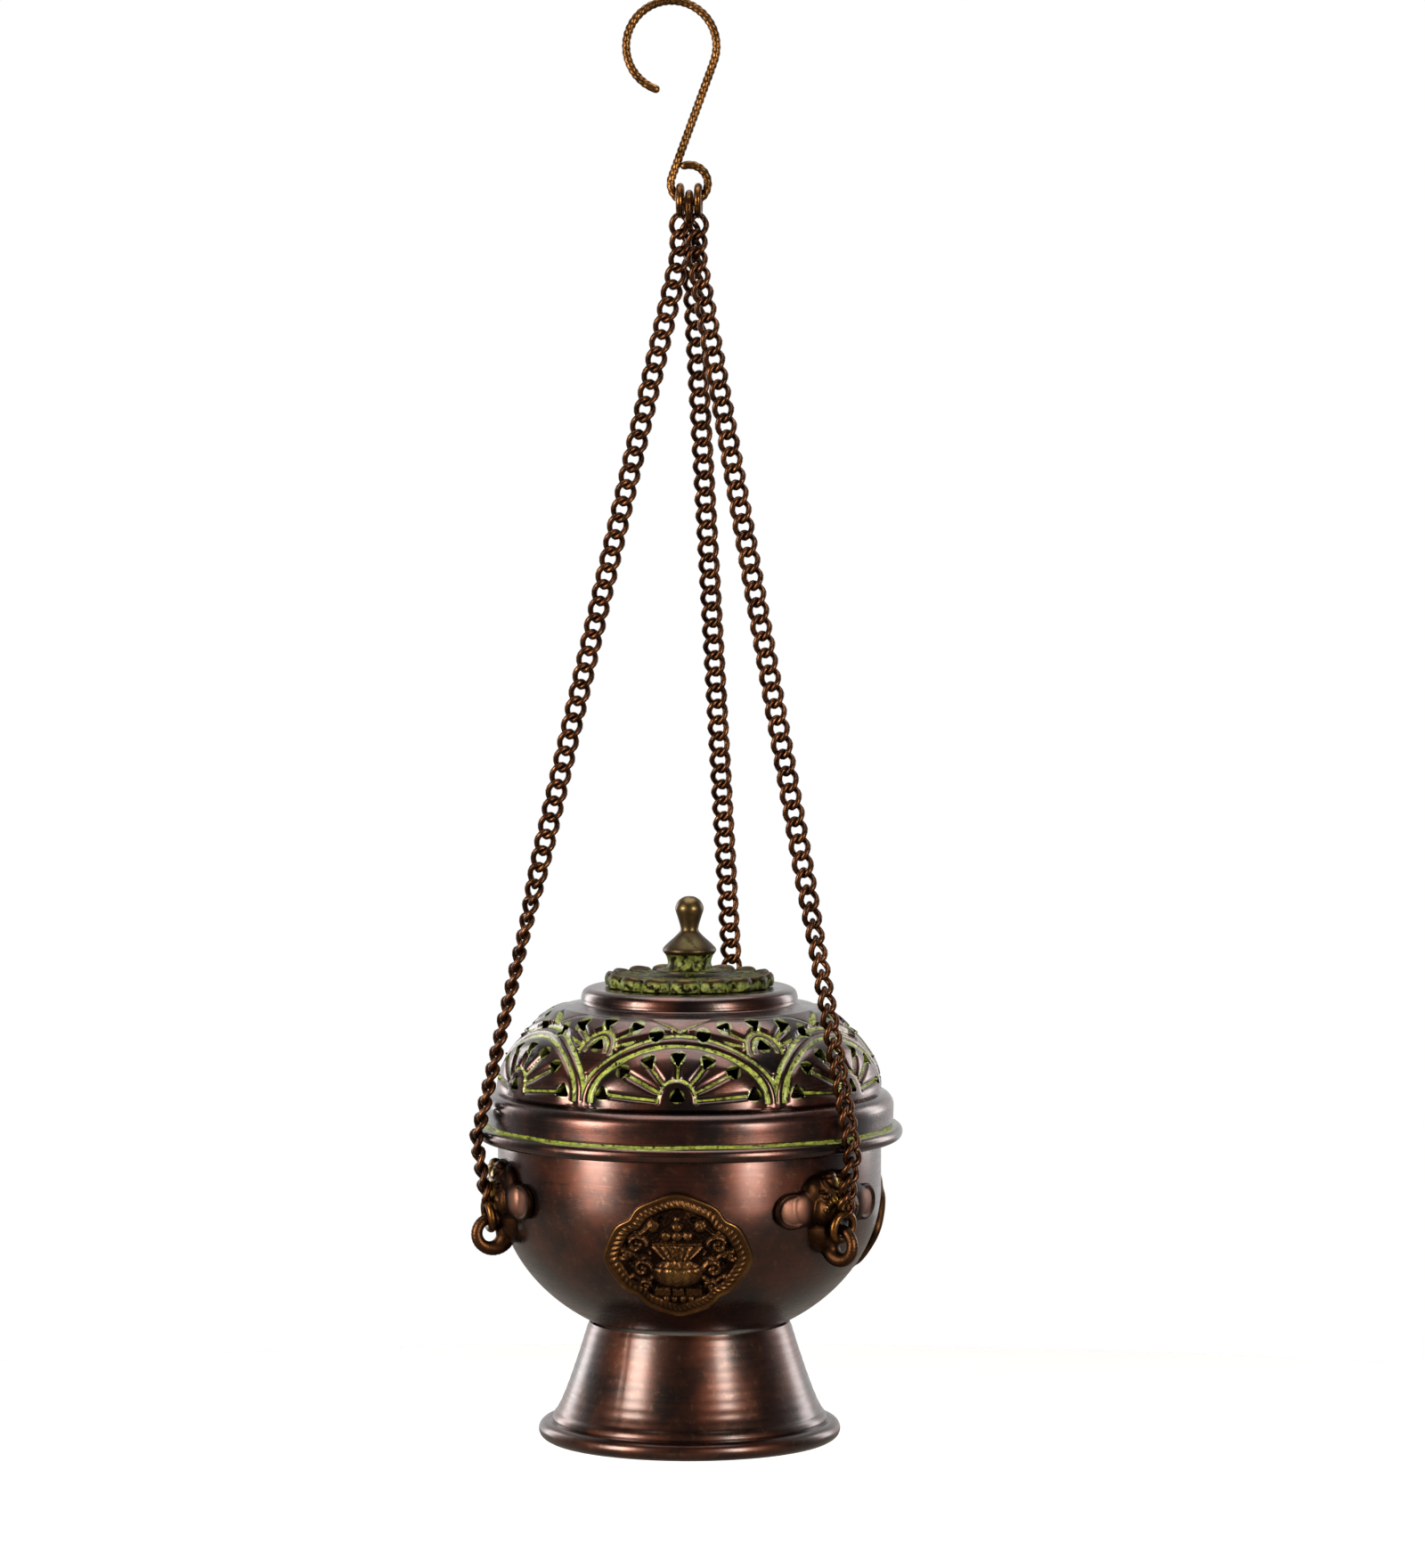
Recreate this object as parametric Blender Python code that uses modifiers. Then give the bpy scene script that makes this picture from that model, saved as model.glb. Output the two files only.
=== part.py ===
"""Hanging incense burner: a footed bowl with a pierced, domed lid, hung by three chains from an S-hook.

Lengths are in millimetres and heights count up from the foot's underside, until place() turns them
into metres and moves the origin to the inside of the hook's big loop, where the burner hangs.
Azimuths are in degrees, 0 at the front (-Y) and growing towards +X.
"""
import math

import bmesh
import bpy
from mathutils import Matrix, Vector

MM = 0.001

# ---- clearances
GAP = 0.3              # between pieces that touch on the real burner
MERGE = 0.00001        # metres, for every modifier that merges

# ---- foot, a spun and flared stand
FOOT_TOP_R = 24.6
FOOT_HEIGHT = 29.0     # to the outer edge of its top, which the bowl sits on
FOOT_BEAD_R = 37.0
FOOT_BEAD_TUBE = 2.2
FOOT_WALL = 1.0
FOOT_FLAT = 1.2        # width of the flat ring under the bead
FOOT_BOW = 1.6         # how far the flare bows in from a straight cone

# ---- bowl, the lower part of an ellipsoid under a short upright wall
BOWL_R = 46.9
BOWL_DEPTH = 38.4      # from the widest height down to the bottom, outside
BOWL_UPRIGHT = 21.4    # the wall's height above the widest circle
BOWL_WALL = 1.2
BOWL_WIDEST_Z = FOOT_HEIGHT + GAP + BOWL_DEPTH * math.sqrt(1.0 - (FOOT_TOP_R / BOWL_R) ** 2)
BOWL_RIM_Z = BOWL_WIDEST_Z + BOWL_UPRIGHT

# ---- lid
LID_WALL = 1.0
LID_PLAY = 2.0         # between the bowl's wall and the inside of the lid's band
LID_SEAT_Z = BOWL_RIM_Z + GAP
BAND_DROP = 8.1        # from the seat on the bowl's rim down to the bead's centre
BAND_ROUND = 2.0       # radius of the shoulder above the band
BEAD_TUBE = 1.75
BEAD_PROUD = 2.25      # how far the bead stands out from the band
BEAD_Z = LID_SEAT_Z - BAND_DROP
DOME_BASE_R = BOWL_R - 0.4
DOME_BASE_Z = LID_SEAT_Z + 2.3
DOME_RISE = 27.0       # the ellipse's upright half axis
DOME_TOP_R = 30.6
DOME_TOP_Z = DOME_BASE_Z + DOME_RISE * math.sqrt(1.0 - (DOME_TOP_R / DOME_BASE_R) ** 2)
NECK_R = DOME_TOP_R - 4.2
NECK_TOP_Z = DOME_TOP_Z + 4.6

# ---- pierced pattern: two rows of fans, the upper one turned by half a fan
FAN_COUNT = 6
HOLE_SIDE = 3.9
LOWER_FAN = {"up": 1.9, "half_az": 23.2, "rise": 9.9, "turn": 0.0, "rays": (-82, -48, -24, 0, 24, 48, 82)}
UPPER_FAN = {"up": 12.9, "half_az": 27.0, "rise": 5.6, "turn": 0.5, "rays": (-52, -28, 0, 28, 52)}
FAN_CENTRE_LIFT = 1.3  # the hole in each fan's half-disc sits this far above its base

# ---- rosette, finial and what holds them
ROSETTE_R = 20.6
ROSETTE_THICK = 3.4
ROSETTE_LOBES = 16
ROSETTE_LOBE_DEPTH = 0.7
STUD_R = 1.5
STUD_LENGTH = 8.2
WASHER_R = 4.2
WASHER_THICK = 0.8
NUT_R = 3.2
NUT_THICK = 2.4

# ---- chain lugs, cast as elephant heads, and their chains
CHAIN_NAMES = ("left", "right", "rear")
CHAIN_AZ = {"left": -70.0, "right": 50.0, "rear": 170.0}
LUG_RING_R = BOWL_R + 3.2      # the trunk ring's centre, out from the axis
LUG_RING_DROP = 9.8    # below the bowl's widest circle
LUG_RING_MID = 3.7     # centre line radius of the ring
LUG_STOCK = 1.25       # its wire radius
LUG_RING_Z = BOWL_WIDEST_Z - LUG_RING_DROP
LUG_HEAD_Z = BOWL_WIDEST_Z + 2.5
LUG_HEAD = (3.6, 8.6, 5.8)     # half sizes: out, across, up
LUG_MUZZLE = (3.3, 5.8, 8.2)
LUG_EAR = (1.6, 6.1, 4.5)
LUG_EAR_AWAY = 11.3    # each ear's middle, round the bowl from the head's middle
LUG_EAR_AZ = math.degrees(LUG_EAR_AWAY / BOWL_R)
LUG_EAR_Z = BOWL_WIDEST_Z - 1.0
LUG_RIVET_REACH = 1.9
RIVET_R = 1.0
RIVET_HEAD_R = 2.0
RIVET_HEAD = 0.8

# ---- medallions
MEDALLION_AZ = {"front": 0.0, "right": 120.0, "left": -120.0}
MEDALLION_HALF_WIDTH = 17.8
MEDALLION_HALF_HEIGHT = 16.2
MEDALLION_DROP = 11.4  # its centre, below the bowl's widest circle
MEDALLION_STAND_OFF = 0.5
MEDALLION_THICK = 1.9
MEDALLION_Z = BOWL_WIDEST_Z - MEDALLION_DROP
MEDALLION_RIVET_REACH = 0.9    # into the plate

# ---- connector links and chains
LINK_WIRE = 0.95
LINK_MID = 3.35
LUG_LINK_WIRE = 1.0
LUG_LINK_MID = 3.3
CHAIN_CORE = 1.15      # radius of the plain rod that stands for a stretch of curb chain
CHAIN_END = 0.75       # each stretch ends this far from the pivot it turns on
CHAIN_MID_LENGTH = 60.0
CHAIN_TOP_R = 2.2      # how far out from the axis each chain leaves the bundle
CHAIN_RISE = 213.6     # from the lid's bead up to there
CHAIN_TOP_Z = BEAD_Z + CHAIN_RISE
CHAIN_BUNDLE = 16.9    # from there up to the hook's eye

# ---- S-hook
HOOK_WIRE = 0.95
HOOK_EYE = {"x": 0.0, "z": CHAIN_TOP_Z + CHAIN_BUNDLE, "r": 4.5, "tip": 106.0}
HOOK_LOOP = {"x": -4.4, "z": HOOK_EYE["z"] + 33.2, "r": 10.95, "tip": 250.0}
HOOK_STEP = 9.0        # degrees between points round the loops
TOP_LINK_SIDE = {"left": -1.0, "right": 1.0, "rear": 0.0}

BRASS = ((0.21, 0.12, 0.05), 0.45)
COPPER = ((0.085, 0.022, 0.010), 0.38)
CHAIN_COPPER = ((0.09, 0.040, 0.020), 0.42)
GREEN_BRONZE = ((0.14, 0.15, 0.05), 0.6)


def inner_loop_height(x):
    """Height of the inside of the hook's big loop straight above x on the burner's axis."""
    reach = HOOK_LOOP["r"] - HOOK_WIRE
    return HOOK_LOOP["z"] + math.sqrt(reach ** 2 - (x - HOOK_LOOP["x"]) ** 2)


BIGHT_Z = inner_loop_height(0.0)


# ------------------------------------------------------------------ scene and placing

def clear_scene():
    for obj in list(bpy.data.objects):
        bpy.data.objects.remove(obj)


def new_collection(name):
    group = bpy.data.collections.new(name)
    bpy.context.scene.collection.children.link(group)
    return group


def place(point):
    """A point in millimetres above the foot, as metres from the hook's bight."""
    x, y, z = point
    return Vector((x * MM, y * MM, (z - BIGHT_Z) * MM))


def radial(azimuth, r, z):
    a = math.radians(azimuth)
    return (r * math.sin(a), -r * math.cos(a), z)


def outward_turn(azimuth):
    """Rotation about Z that turns local +X to point outwards at an azimuth."""
    return math.radians(azimuth - 90.0)


def paint(obj, name, finish):
    colour, roughness = finish
    material = bpy.data.materials.new(name)
    material.use_nodes = True
    shader = material.node_tree.nodes["Principled BSDF"]
    shader.inputs["Base Color"].default_value = (*colour, 1.0)
    shader.inputs["Roughness"].default_value = roughness
    shader.inputs["Metallic"].default_value = 1.0
    obj.data.materials.clear()
    obj.data.materials.append(material)


class Builder:
    """Holds the collections and the empties that stand for the moving bodies."""

    def __init__(self):
        self.parts = new_collection("incense_burner")
        self.cutters = new_collection("cutters")
        self.pivots = {}

    def add_body(self, name, pivot_mm):
        empty = bpy.data.objects.new("pivot_" + name, None)
        empty.location = place(pivot_mm)
        empty.empty_display_size = 0.004
        self.parts.objects.link(empty)
        self.pivots[name] = empty

    def add_piece(self, name, data, body, finish, turn=0.0):
        """Put mesh or curve data, given in world metres, in as a node whose origin is on its body's pivot."""
        pivot = self.pivots[body]
        data.transform(Matrix.Rotation(turn, 4, "Z"))
        data.transform(Matrix.Translation(-pivot.location))
        obj = bpy.data.objects.new(name, data)
        obj.parent = pivot
        self.parts.objects.link(obj)
        paint(obj, name, finish)
        return obj

    def add_cutter(self, name, data, body):
        pivot = self.pivots[body]
        data.transform(Matrix.Translation(-pivot.location))
        obj = bpy.data.objects.new(name, data)
        obj.parent = pivot
        obj.hide_render = True
        obj.display_type = "WIRE"
        self.cutters.objects.link(obj)
        return obj


def shade(obj, angle=35.0):
    obj.data.shade_smooth()
    obj.data.set_sharp_from_angle(angle=math.radians(angle))


def cut(obj, cutter):
    modifier = obj.modifiers.new("cut_" + cutter.name, "BOOLEAN")
    modifier.operation = "DIFFERENCE"
    modifier.solver = "EXACT"
    modifier.object = cutter


# ------------------------------------------------------------------ shapes

def profile_mesh(name, profile):
    """Edges of a turned profile, in the XZ plane."""
    verts = [place((r, 0.0, z)) for r, z in profile]
    edges = [(i, i + 1) for i in range(len(verts) - 1)]
    mesh = bpy.data.meshes.new(name)
    mesh.from_pydata(verts, edges, [])
    return mesh


def turn_profile(obj, steps):
    modifier = obj.modifiers.new("turned", "SCREW")
    modifier.axis = "Z"
    modifier.steps = steps
    modifier.render_steps = steps
    modifier.use_merge_vertices = True
    modifier.merge_threshold = MERGE
    modifier.use_smooth_shade = True


def turned_piece(builder, name, profile, body, finish, steps):
    obj = builder.add_piece(name, profile_mesh(name, profile), body, finish)
    turn_profile(obj, steps)
    return obj


def arc(cx, cz, radius, start, end, count):
    """Points on a circular arc in a profile, angles in degrees from +X towards +Z."""
    angles = [math.radians(start + (end - start) * i / count) for i in range(count + 1)]
    return [(cx + radius * math.cos(a), cz + radius * math.sin(a)) for a in angles]


def primitive_mesh(name, matrix, make):
    """Mesh of one bmesh primitive, moved by a matrix in millimetres above the foot, in world metres."""
    bm = bmesh.new()
    make(bm)
    bmesh.ops.transform(bm, matrix=matrix, verts=bm.verts)
    bmesh.ops.translate(bm, vec=(0.0, 0.0, -BIGHT_Z), verts=bm.verts)
    bmesh.ops.scale(bm, vec=(MM, MM, MM), verts=bm.verts)
    bmesh.ops.recalc_face_normals(bm, faces=bm.faces)
    mesh = bpy.data.meshes.new(name)
    bm.to_mesh(mesh)
    bm.free()
    return mesh


def frame_between(start, end):
    """Matrix whose origin is midway between two points and whose Z runs from the first to the second."""
    a, b = Vector(start), Vector(end)
    turn = (b - a).to_track_quat("Z", "Y").to_matrix().to_4x4()
    return Matrix.Translation((a + b) / 2) @ turn, (b - a).length


def rod_mesh(name, start, end, radius, sides=8):
    matrix, length = frame_between(start, end)
    return primitive_mesh(name, matrix, lambda bm: bmesh.ops.create_cone(
        bm, cap_ends=True, segments=sides, radius1=radius, radius2=radius, depth=length))


def ring_mesh(name, centre, axis, mid_radius, wire_radius, around=20, across=7):
    """A torus with its hole along an axis."""
    bpy.ops.mesh.primitive_torus_add(major_segments=around, minor_segments=across,
                                     major_radius=mid_radius, minor_radius=wire_radius)
    obj = bpy.context.object
    mesh = obj.data
    bpy.data.objects.remove(obj)
    mesh.name = name
    mesh.transform(Vector(axis).to_track_quat("Z", "Y").to_matrix().to_4x4())
    mesh.transform(Matrix.Translation((centre[0], centre[1], centre[2] - BIGHT_Z)))
    mesh.transform(Matrix.Scale(MM, 4))
    mesh.shade_smooth()
    return mesh


def wire_curve(name, points, radius, resolution=2):
    """A round wire along a list of points, as curve data in world metres."""
    curve = bpy.data.curves.new(name, "CURVE")
    curve.dimensions = "3D"
    curve.bevel_depth = radius * MM
    curve.bevel_resolution = resolution
    curve.use_fill_caps = True
    curve.render_resolution_u = 0
    spline = curve.splines.new("POLY")
    spline.points.add(len(points) - 1)
    for item, point in zip(spline.points, points):
        item.co = (*place(point), 1.0)
    return curve


def solid_from(obj):
    """Evaluated mesh of an object in its own space, with loose caps welded."""
    bpy.context.view_layer.update()
    graph = bpy.context.evaluated_depsgraph_get()
    mesh = bpy.data.meshes.new_from_object(obj.evaluated_get(graph))
    bm = bmesh.new()
    bm.from_mesh(mesh)
    bmesh.ops.remove_doubles(bm, verts=bm.verts, dist=MERGE)
    bmesh.ops.recalc_face_normals(bm, faces=bm.faces)
    bm.to_mesh(mesh)
    bm.free()
    return mesh


# ------------------------------------------------------------------ surfaces that others fit to

def bowl_radius(z, offset=0.0):
    """Outside radius of the bowl at a height, on the surface moved outwards by an offset."""
    if z >= BOWL_WIDEST_Z:
        return BOWL_R + offset
    drop = (BOWL_WIDEST_Z - z) / (BOWL_DEPTH + offset)
    return (BOWL_R + offset) * math.sqrt(max(0.0, 1.0 - drop * drop))


def bowl_height(r):
    """Height of the bowl's underside at a radius."""
    return BOWL_WIDEST_Z - BOWL_DEPTH * math.sqrt(1.0 - (r / BOWL_R) ** 2)


def bowl_side_point(azimuth, t, offset):
    """Point beside the bowl, t radians round its ellipse below the widest circle, or above it if negative."""
    if t < 0.0:
        return radial(azimuth, BOWL_R + offset, BOWL_WIDEST_Z - t * BOWL_DEPTH)
    r = BOWL_R * math.cos(t)
    z = BOWL_WIDEST_Z - BOWL_DEPTH * math.sin(t)
    nr, nz = math.cos(t) / BOWL_R, -math.sin(t) / BOWL_DEPTH
    size = math.hypot(nr, nz)
    return radial(azimuth, r + offset * nr / size, z + offset * nz / size)


def dome_radius(z):
    rise = (z - DOME_BASE_Z) / DOME_RISE
    return DOME_BASE_R * math.sqrt(max(0.0, 1.0 - rise * rise))


# ------------------------------------------------------------------ pieces

def foot_profile():
    """Closed section, inner wall up and outer wall down to the bead, round its flat base, and back."""
    bead_x = FOOT_BEAD_R - FOOT_BEAD_TUBE
    flat_drop = math.degrees(math.asin(FOOT_FLAT / 2 / FOOT_BEAD_TUBE))
    base_z = FOOT_BEAD_TUBE * math.cos(math.radians(flat_drop))
    flare_top = (FOOT_TOP_R, FOOT_HEIGHT - 0.4)
    flare_low = (bead_x - FOOT_BEAD_TUBE * 0.45, base_z + FOOT_BEAD_TUBE * 0.9 + 1.2)

    def flare(inset):
        points = []
        for i in range(7):
            f = i / 6
            bow = FOOT_BOW * math.sin(math.pi * f ** 1.6)
            r = flare_top[0] + (flare_low[0] - flare_top[0]) * f - bow - inset
            z = flare_top[1] + (flare_low[1] - flare_top[1]) * f
            points.append((r, z))
        return points

    outer = [(r, bowl_height(r) - GAP) for r in (FOOT_TOP_R - FOOT_WALL, FOOT_TOP_R)] + flare(0.0)
    bead = arc(bead_x, base_z, FOOT_BEAD_TUBE, 75.0, -90.0 + flat_drop, 6)
    under = arc(bead_x, base_z, FOOT_BEAD_TUBE, -90.0 - flat_drop, -165.0, 3)
    inner = list(reversed(flare(FOOT_WALL)))
    section = outer + bead + under + inner
    return section + [section[0]]


def make_foot(builder):
    turned_piece(builder, "foot", foot_profile(), "vessel", COPPER, 36)


def bowl_profile():
    """From the middle of the inside up over the rim and down the outside to the middle."""
    def wall(offset, count):
        points = []
        for i in range(count + 1):
            t = math.pi / 2 * (1.0 - i / count)
            points.append(((BOWL_R + offset) * math.cos(t),
                           BOWL_WIDEST_Z - (BOWL_DEPTH + offset) * math.sin(t)))
        points[0] = (0.0, points[0][1])
        return points

    inner = wall(-BOWL_WALL, 9) + [(BOWL_R - BOWL_WALL, BOWL_RIM_Z)]
    outer = [(BOWL_R, BOWL_RIM_Z)] + list(reversed(wall(0.0, 10)))
    return inner + outer


def make_bowl(builder):
    bowl = turned_piece(builder, "bowl", bowl_profile(), "vessel", COPPER, 40)
    holes = []
    for azimuth in CHAIN_AZ.values():
        holes.append((azimuth, LUG_HEAD_Z, 0.0))
    for azimuth in MEDALLION_AZ.values():
        holes.append((azimuth, MEDALLION_Z, rivet_tilt(MEDALLION_Z)))
    for number, (azimuth, z, tilt) in enumerate(holes):
        start, end = rivet_line(azimuth, z, tilt, -4.0, 3.0)
        mesh = rod_mesh("rivet_hole", start, end, RIVET_R + GAP, 10)
        cut(bowl, builder.add_cutter("rivet_hole_%d" % number, mesh, "vessel"))


def rivet_tilt(z):
    """Angle in degrees of the bowl's outward normal below level at a height on its lower part."""
    r = bowl_radius(z)
    return math.degrees(math.atan2((BOWL_WIDEST_Z - z) / BOWL_DEPTH ** 2, r / BOWL_R ** 2))


def rivet_line(azimuth, z, tilt, inside, outside):
    """Two points on the normal through the bowl's outside at a height, measured outwards from it."""
    a = math.radians(tilt)
    r = bowl_radius(z)
    return [radial(azimuth, r + d * math.cos(a), z - d * math.sin(a)) for d in (inside, outside)]


def rivet_solid(name, azimuth, z, tilt, reach):
    """A round head inside the bowl and a shank out through its wall, in one turned solid."""
    head_face = -(BOWL_WALL + 2 * GAP)
    tip, back = rivet_line(azimuth, z, tilt, reach, head_face - RIVET_HEAD)
    matrix, length = frame_between(tip, back)
    profile = [(0.0, length), (RIVET_HEAD_R * 0.7, length), (RIVET_HEAD_R, length - RIVET_HEAD * 0.5),
               (RIVET_HEAD_R, length - RIVET_HEAD), (RIVET_R, length - RIVET_HEAD), (RIVET_R, 0.0),
               (0.0, 0.0)]
    bm = bmesh.new()
    verts = [bm.verts.new((r, 0.0, h - length / 2)) for r, h in profile]
    edges = [bm.edges.new(pair) for pair in zip(verts, verts[1:])]
    bmesh.ops.spin(bm, geom=verts + edges, axis=(0, 0, 1), cent=(0, 0, 0), angle=math.tau, steps=10)
    bmesh.ops.remove_doubles(bm, verts=bm.verts, dist=0.001)
    bmesh.ops.recalc_face_normals(bm, faces=bm.faces)
    mesh = bpy.data.meshes.new(name)
    bm.to_mesh(mesh)
    bm.free()
    mesh.transform(matrix)
    mesh.transform(Matrix.Translation((0.0, 0.0, -BIGHT_Z)))
    mesh.transform(Matrix.Scale(MM, 4))
    return mesh


def band_radius():
    return BOWL_R + LID_PLAY + LID_WALL


def lid_profile():
    """Closed section: from the stud hole out over the neck, down dome, band and bead, and back inside."""
    band = band_radius()
    bead_x = band + BEAD_PROUD - BEAD_TUBE
    hole = STUD_R + GAP
    top_angle = math.degrees(math.acos(DOME_TOP_R / DOME_BASE_R))

    def dome(a, b, count):
        angles = [math.radians(top_angle * (1.0 - i / count)) for i in range(count + 1)]
        return [(a * math.cos(t), DOME_BASE_Z + b * math.sin(t)) for t in angles]

    outer = [(hole, NECK_TOP_Z), (NECK_R - 1.6, NECK_TOP_Z), (NECK_R - 0.3, NECK_TOP_Z - 0.9)]
    outer += [(NECK_R, NECK_TOP_Z - 2.4), (NECK_R + 1.2, NECK_TOP_Z - 3.6)]
    outer += dome(DOME_BASE_R, DOME_RISE, 7)
    outer += [(DOME_BASE_R + 0.5, DOME_BASE_Z - 0.7)]
    outer += arc(band - BAND_ROUND, LID_SEAT_Z - 0.7, BAND_ROUND, 70.0, 0.0, 3)
    bead = arc(bead_x, BEAD_Z, BEAD_TUBE, 65.0, -180.0 + 35.0, 6)
    inner_r = band - LID_WALL
    inner = [(inner_r, BEAD_Z), (inner_r, LID_SEAT_Z - 0.8), (inner_r - 0.8, LID_SEAT_Z)]
    inner += [(DOME_BASE_R - LID_WALL, LID_SEAT_Z)]
    inner += list(reversed(dome(DOME_BASE_R - LID_WALL, DOME_RISE - LID_WALL, 7)))
    inner += [(NECK_R + 0.4, NECK_TOP_Z - 4.6), (NECK_R - LID_WALL, NECK_TOP_Z - 3.0)]
    inner += [(NECK_R - 2.2, NECK_TOP_Z - LID_WALL), (hole, NECK_TOP_Z - LID_WALL)]
    section = outer + bead + inner
    return section + [section[0]]


def fan_holes(fan):
    """Azimuth, height and tilt in the surface of each triangular hole of one row of fans."""
    for index in range(FAN_COUNT):
        centre = 360.0 / FAN_COUNT * (index + fan["turn"])
        base = DOME_BASE_Z + fan["up"]
        yield centre, base + FAN_CENTRE_LIFT, 180.0
        for ray in fan["rays"]:
            a = math.radians(ray)
            azimuth = centre + fan["half_az"] * math.sin(a)
            yield azimuth, base + fan["rise"] * math.cos(a), -ray


def hole_prism(azimuth, z, turn):
    """A three-sided prism through the dome, one corner pointing back to its fan's centre."""
    r = dome_radius(z)
    slope = math.atan2((z - DOME_BASE_Z) / DOME_RISE ** 2, r / DOME_BASE_R ** 2)
    matrix = (Matrix.Translation(radial(azimuth, r, z)) @ Matrix.Rotation(outward_turn(azimuth), 4, "Z")
              @ Matrix.Rotation(math.pi / 2 - slope, 4, "Y") @ Matrix.Rotation(math.radians(turn), 4, "Z"))
    radius = HOLE_SIDE / math.sqrt(3.0)
    bm = bmesh.new()
    bmesh.ops.create_cone(bm, cap_ends=True, segments=3, radius1=radius, radius2=radius, depth=4.0)
    bmesh.ops.rotate(bm, verts=bm.verts, matrix=Matrix.Rotation(math.radians(-90.0), 3, "Z"))
    bmesh.ops.transform(bm, matrix=matrix, verts=bm.verts)
    return bm


def fan_cutter(name, fan):
    whole = bmesh.new()
    for azimuth, z, turn in fan_holes(fan):
        one = hole_prism(azimuth, z, turn)
        mesh = bpy.data.meshes.new("prism")
        one.to_mesh(mesh)
        one.free()
        whole.from_mesh(mesh)
        bpy.data.meshes.remove(mesh)
    bmesh.ops.translate(whole, vec=(0.0, 0.0, -BIGHT_Z), verts=whole.verts)
    bmesh.ops.scale(whole, vec=(MM, MM, MM), verts=whole.verts)
    bmesh.ops.recalc_face_normals(whole, faces=whole.faces)
    mesh = bpy.data.meshes.new(name)
    whole.to_mesh(mesh)
    whole.free()
    return mesh


def make_lid(builder):
    lid = turned_piece(builder, "lid", lid_profile(), "lid", COPPER, 40)
    for name, fan in (("lower_fan_holes", LOWER_FAN), ("upper_fan_holes", UPPER_FAN)):
        cut(lid, builder.add_cutter(name, fan_cutter(name, fan), "lid"))


def make_rosette(builder):
    """A cast disc with a lobed rim, bored for the finial's stud."""
    low = NECK_TOP_Z + GAP
    matrix = Matrix.Translation((0.0, 0.0, low + ROSETTE_THICK / 2))

    def lobed_disc(bm):
        bmesh.ops.create_cone(bm, cap_ends=True, segments=ROSETTE_LOBES * 4, radius1=ROSETTE_R,
                              radius2=ROSETTE_R - 0.6, depth=ROSETTE_THICK)
        for vert in bm.verts:
            angle = math.atan2(vert.co.y, vert.co.x)
            shrink = ROSETTE_LOBE_DEPTH * (1.0 - math.cos(ROSETTE_LOBES * angle)) / 2 / ROSETTE_R
            vert.co.x *= 1.0 - shrink
            vert.co.y *= 1.0 - shrink

    rosette = builder.add_piece("rosette", primitive_mesh("rosette", matrix, lobed_disc), "lid", GREEN_BRONZE)
    bore = rod_mesh("stud_hole", (0, 0, low - 2.0), (0, 0, low + ROSETTE_THICK + 2.0), STUD_R + GAP, 16)
    cut(rosette, builder.add_cutter("stud_hole", bore, "lid"))


def make_finial(builder):
    """Turned knob with a stud that clamps the rosette and the lid between its foot, a washer and a nut."""
    base = NECK_TOP_Z + GAP + ROSETTE_THICK + GAP
    knob = [(0.0, 18.1), (1.5, 17.8), (2.8, 16.8), (3.4, 15.5), (3.3, 14.4), (2.7, 12.4), (2.3, 10.6)]
    knob += [(2.5, 9.6), (3.4, 8.4), (5.3, 7.0), (6.4, 5.9), (6.5, 5.1), (5.9, 3.8), (5.35, 2.6)]
    knob += [(5.35, 1.8), (6.0, 1.1), (8.0, 0.4), (8.0, 0.0), (STUD_R, 0.0)]
    profile = [(r, base + h) for r, h in knob] + [(STUD_R, base - STUD_LENGTH), (0.0, base - STUD_LENGTH)]
    turned_piece(builder, "finial", profile, "lid", BRASS, 24)
    under = NECK_TOP_Z - LID_WALL - GAP
    for name, top, thick, radius, sides in (
            ("finial_washer", under, WASHER_THICK, WASHER_R, 24),
            ("finial_nut", under - WASHER_THICK - GAP, NUT_THICK, NUT_R, 6)):
        mesh = rod_mesh(name, (0, 0, top - thick), (0, 0, top), radius, sides)
        piece = builder.add_piece(name, mesh, "lid", BRASS)
        bore = rod_mesh(name + "_bore", (0, 0, top - thick - 1.0), (0, 0, top + 1.0), STUD_R + GAP, 16)
        cut(piece, builder.add_cutter(name + "_bore", bore, "lid"))


def ellipsoid(name, centre, half, matrix=Matrix.Identity(4)):
    def make(bm):
        bmesh.ops.create_uvsphere(bm, u_segments=14, v_segments=9, radius=1.0)
        bmesh.ops.scale(bm, vec=half, verts=bm.verts)
    return primitive_mesh(name, matrix @ Matrix.Translation(centre), make)


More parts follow.
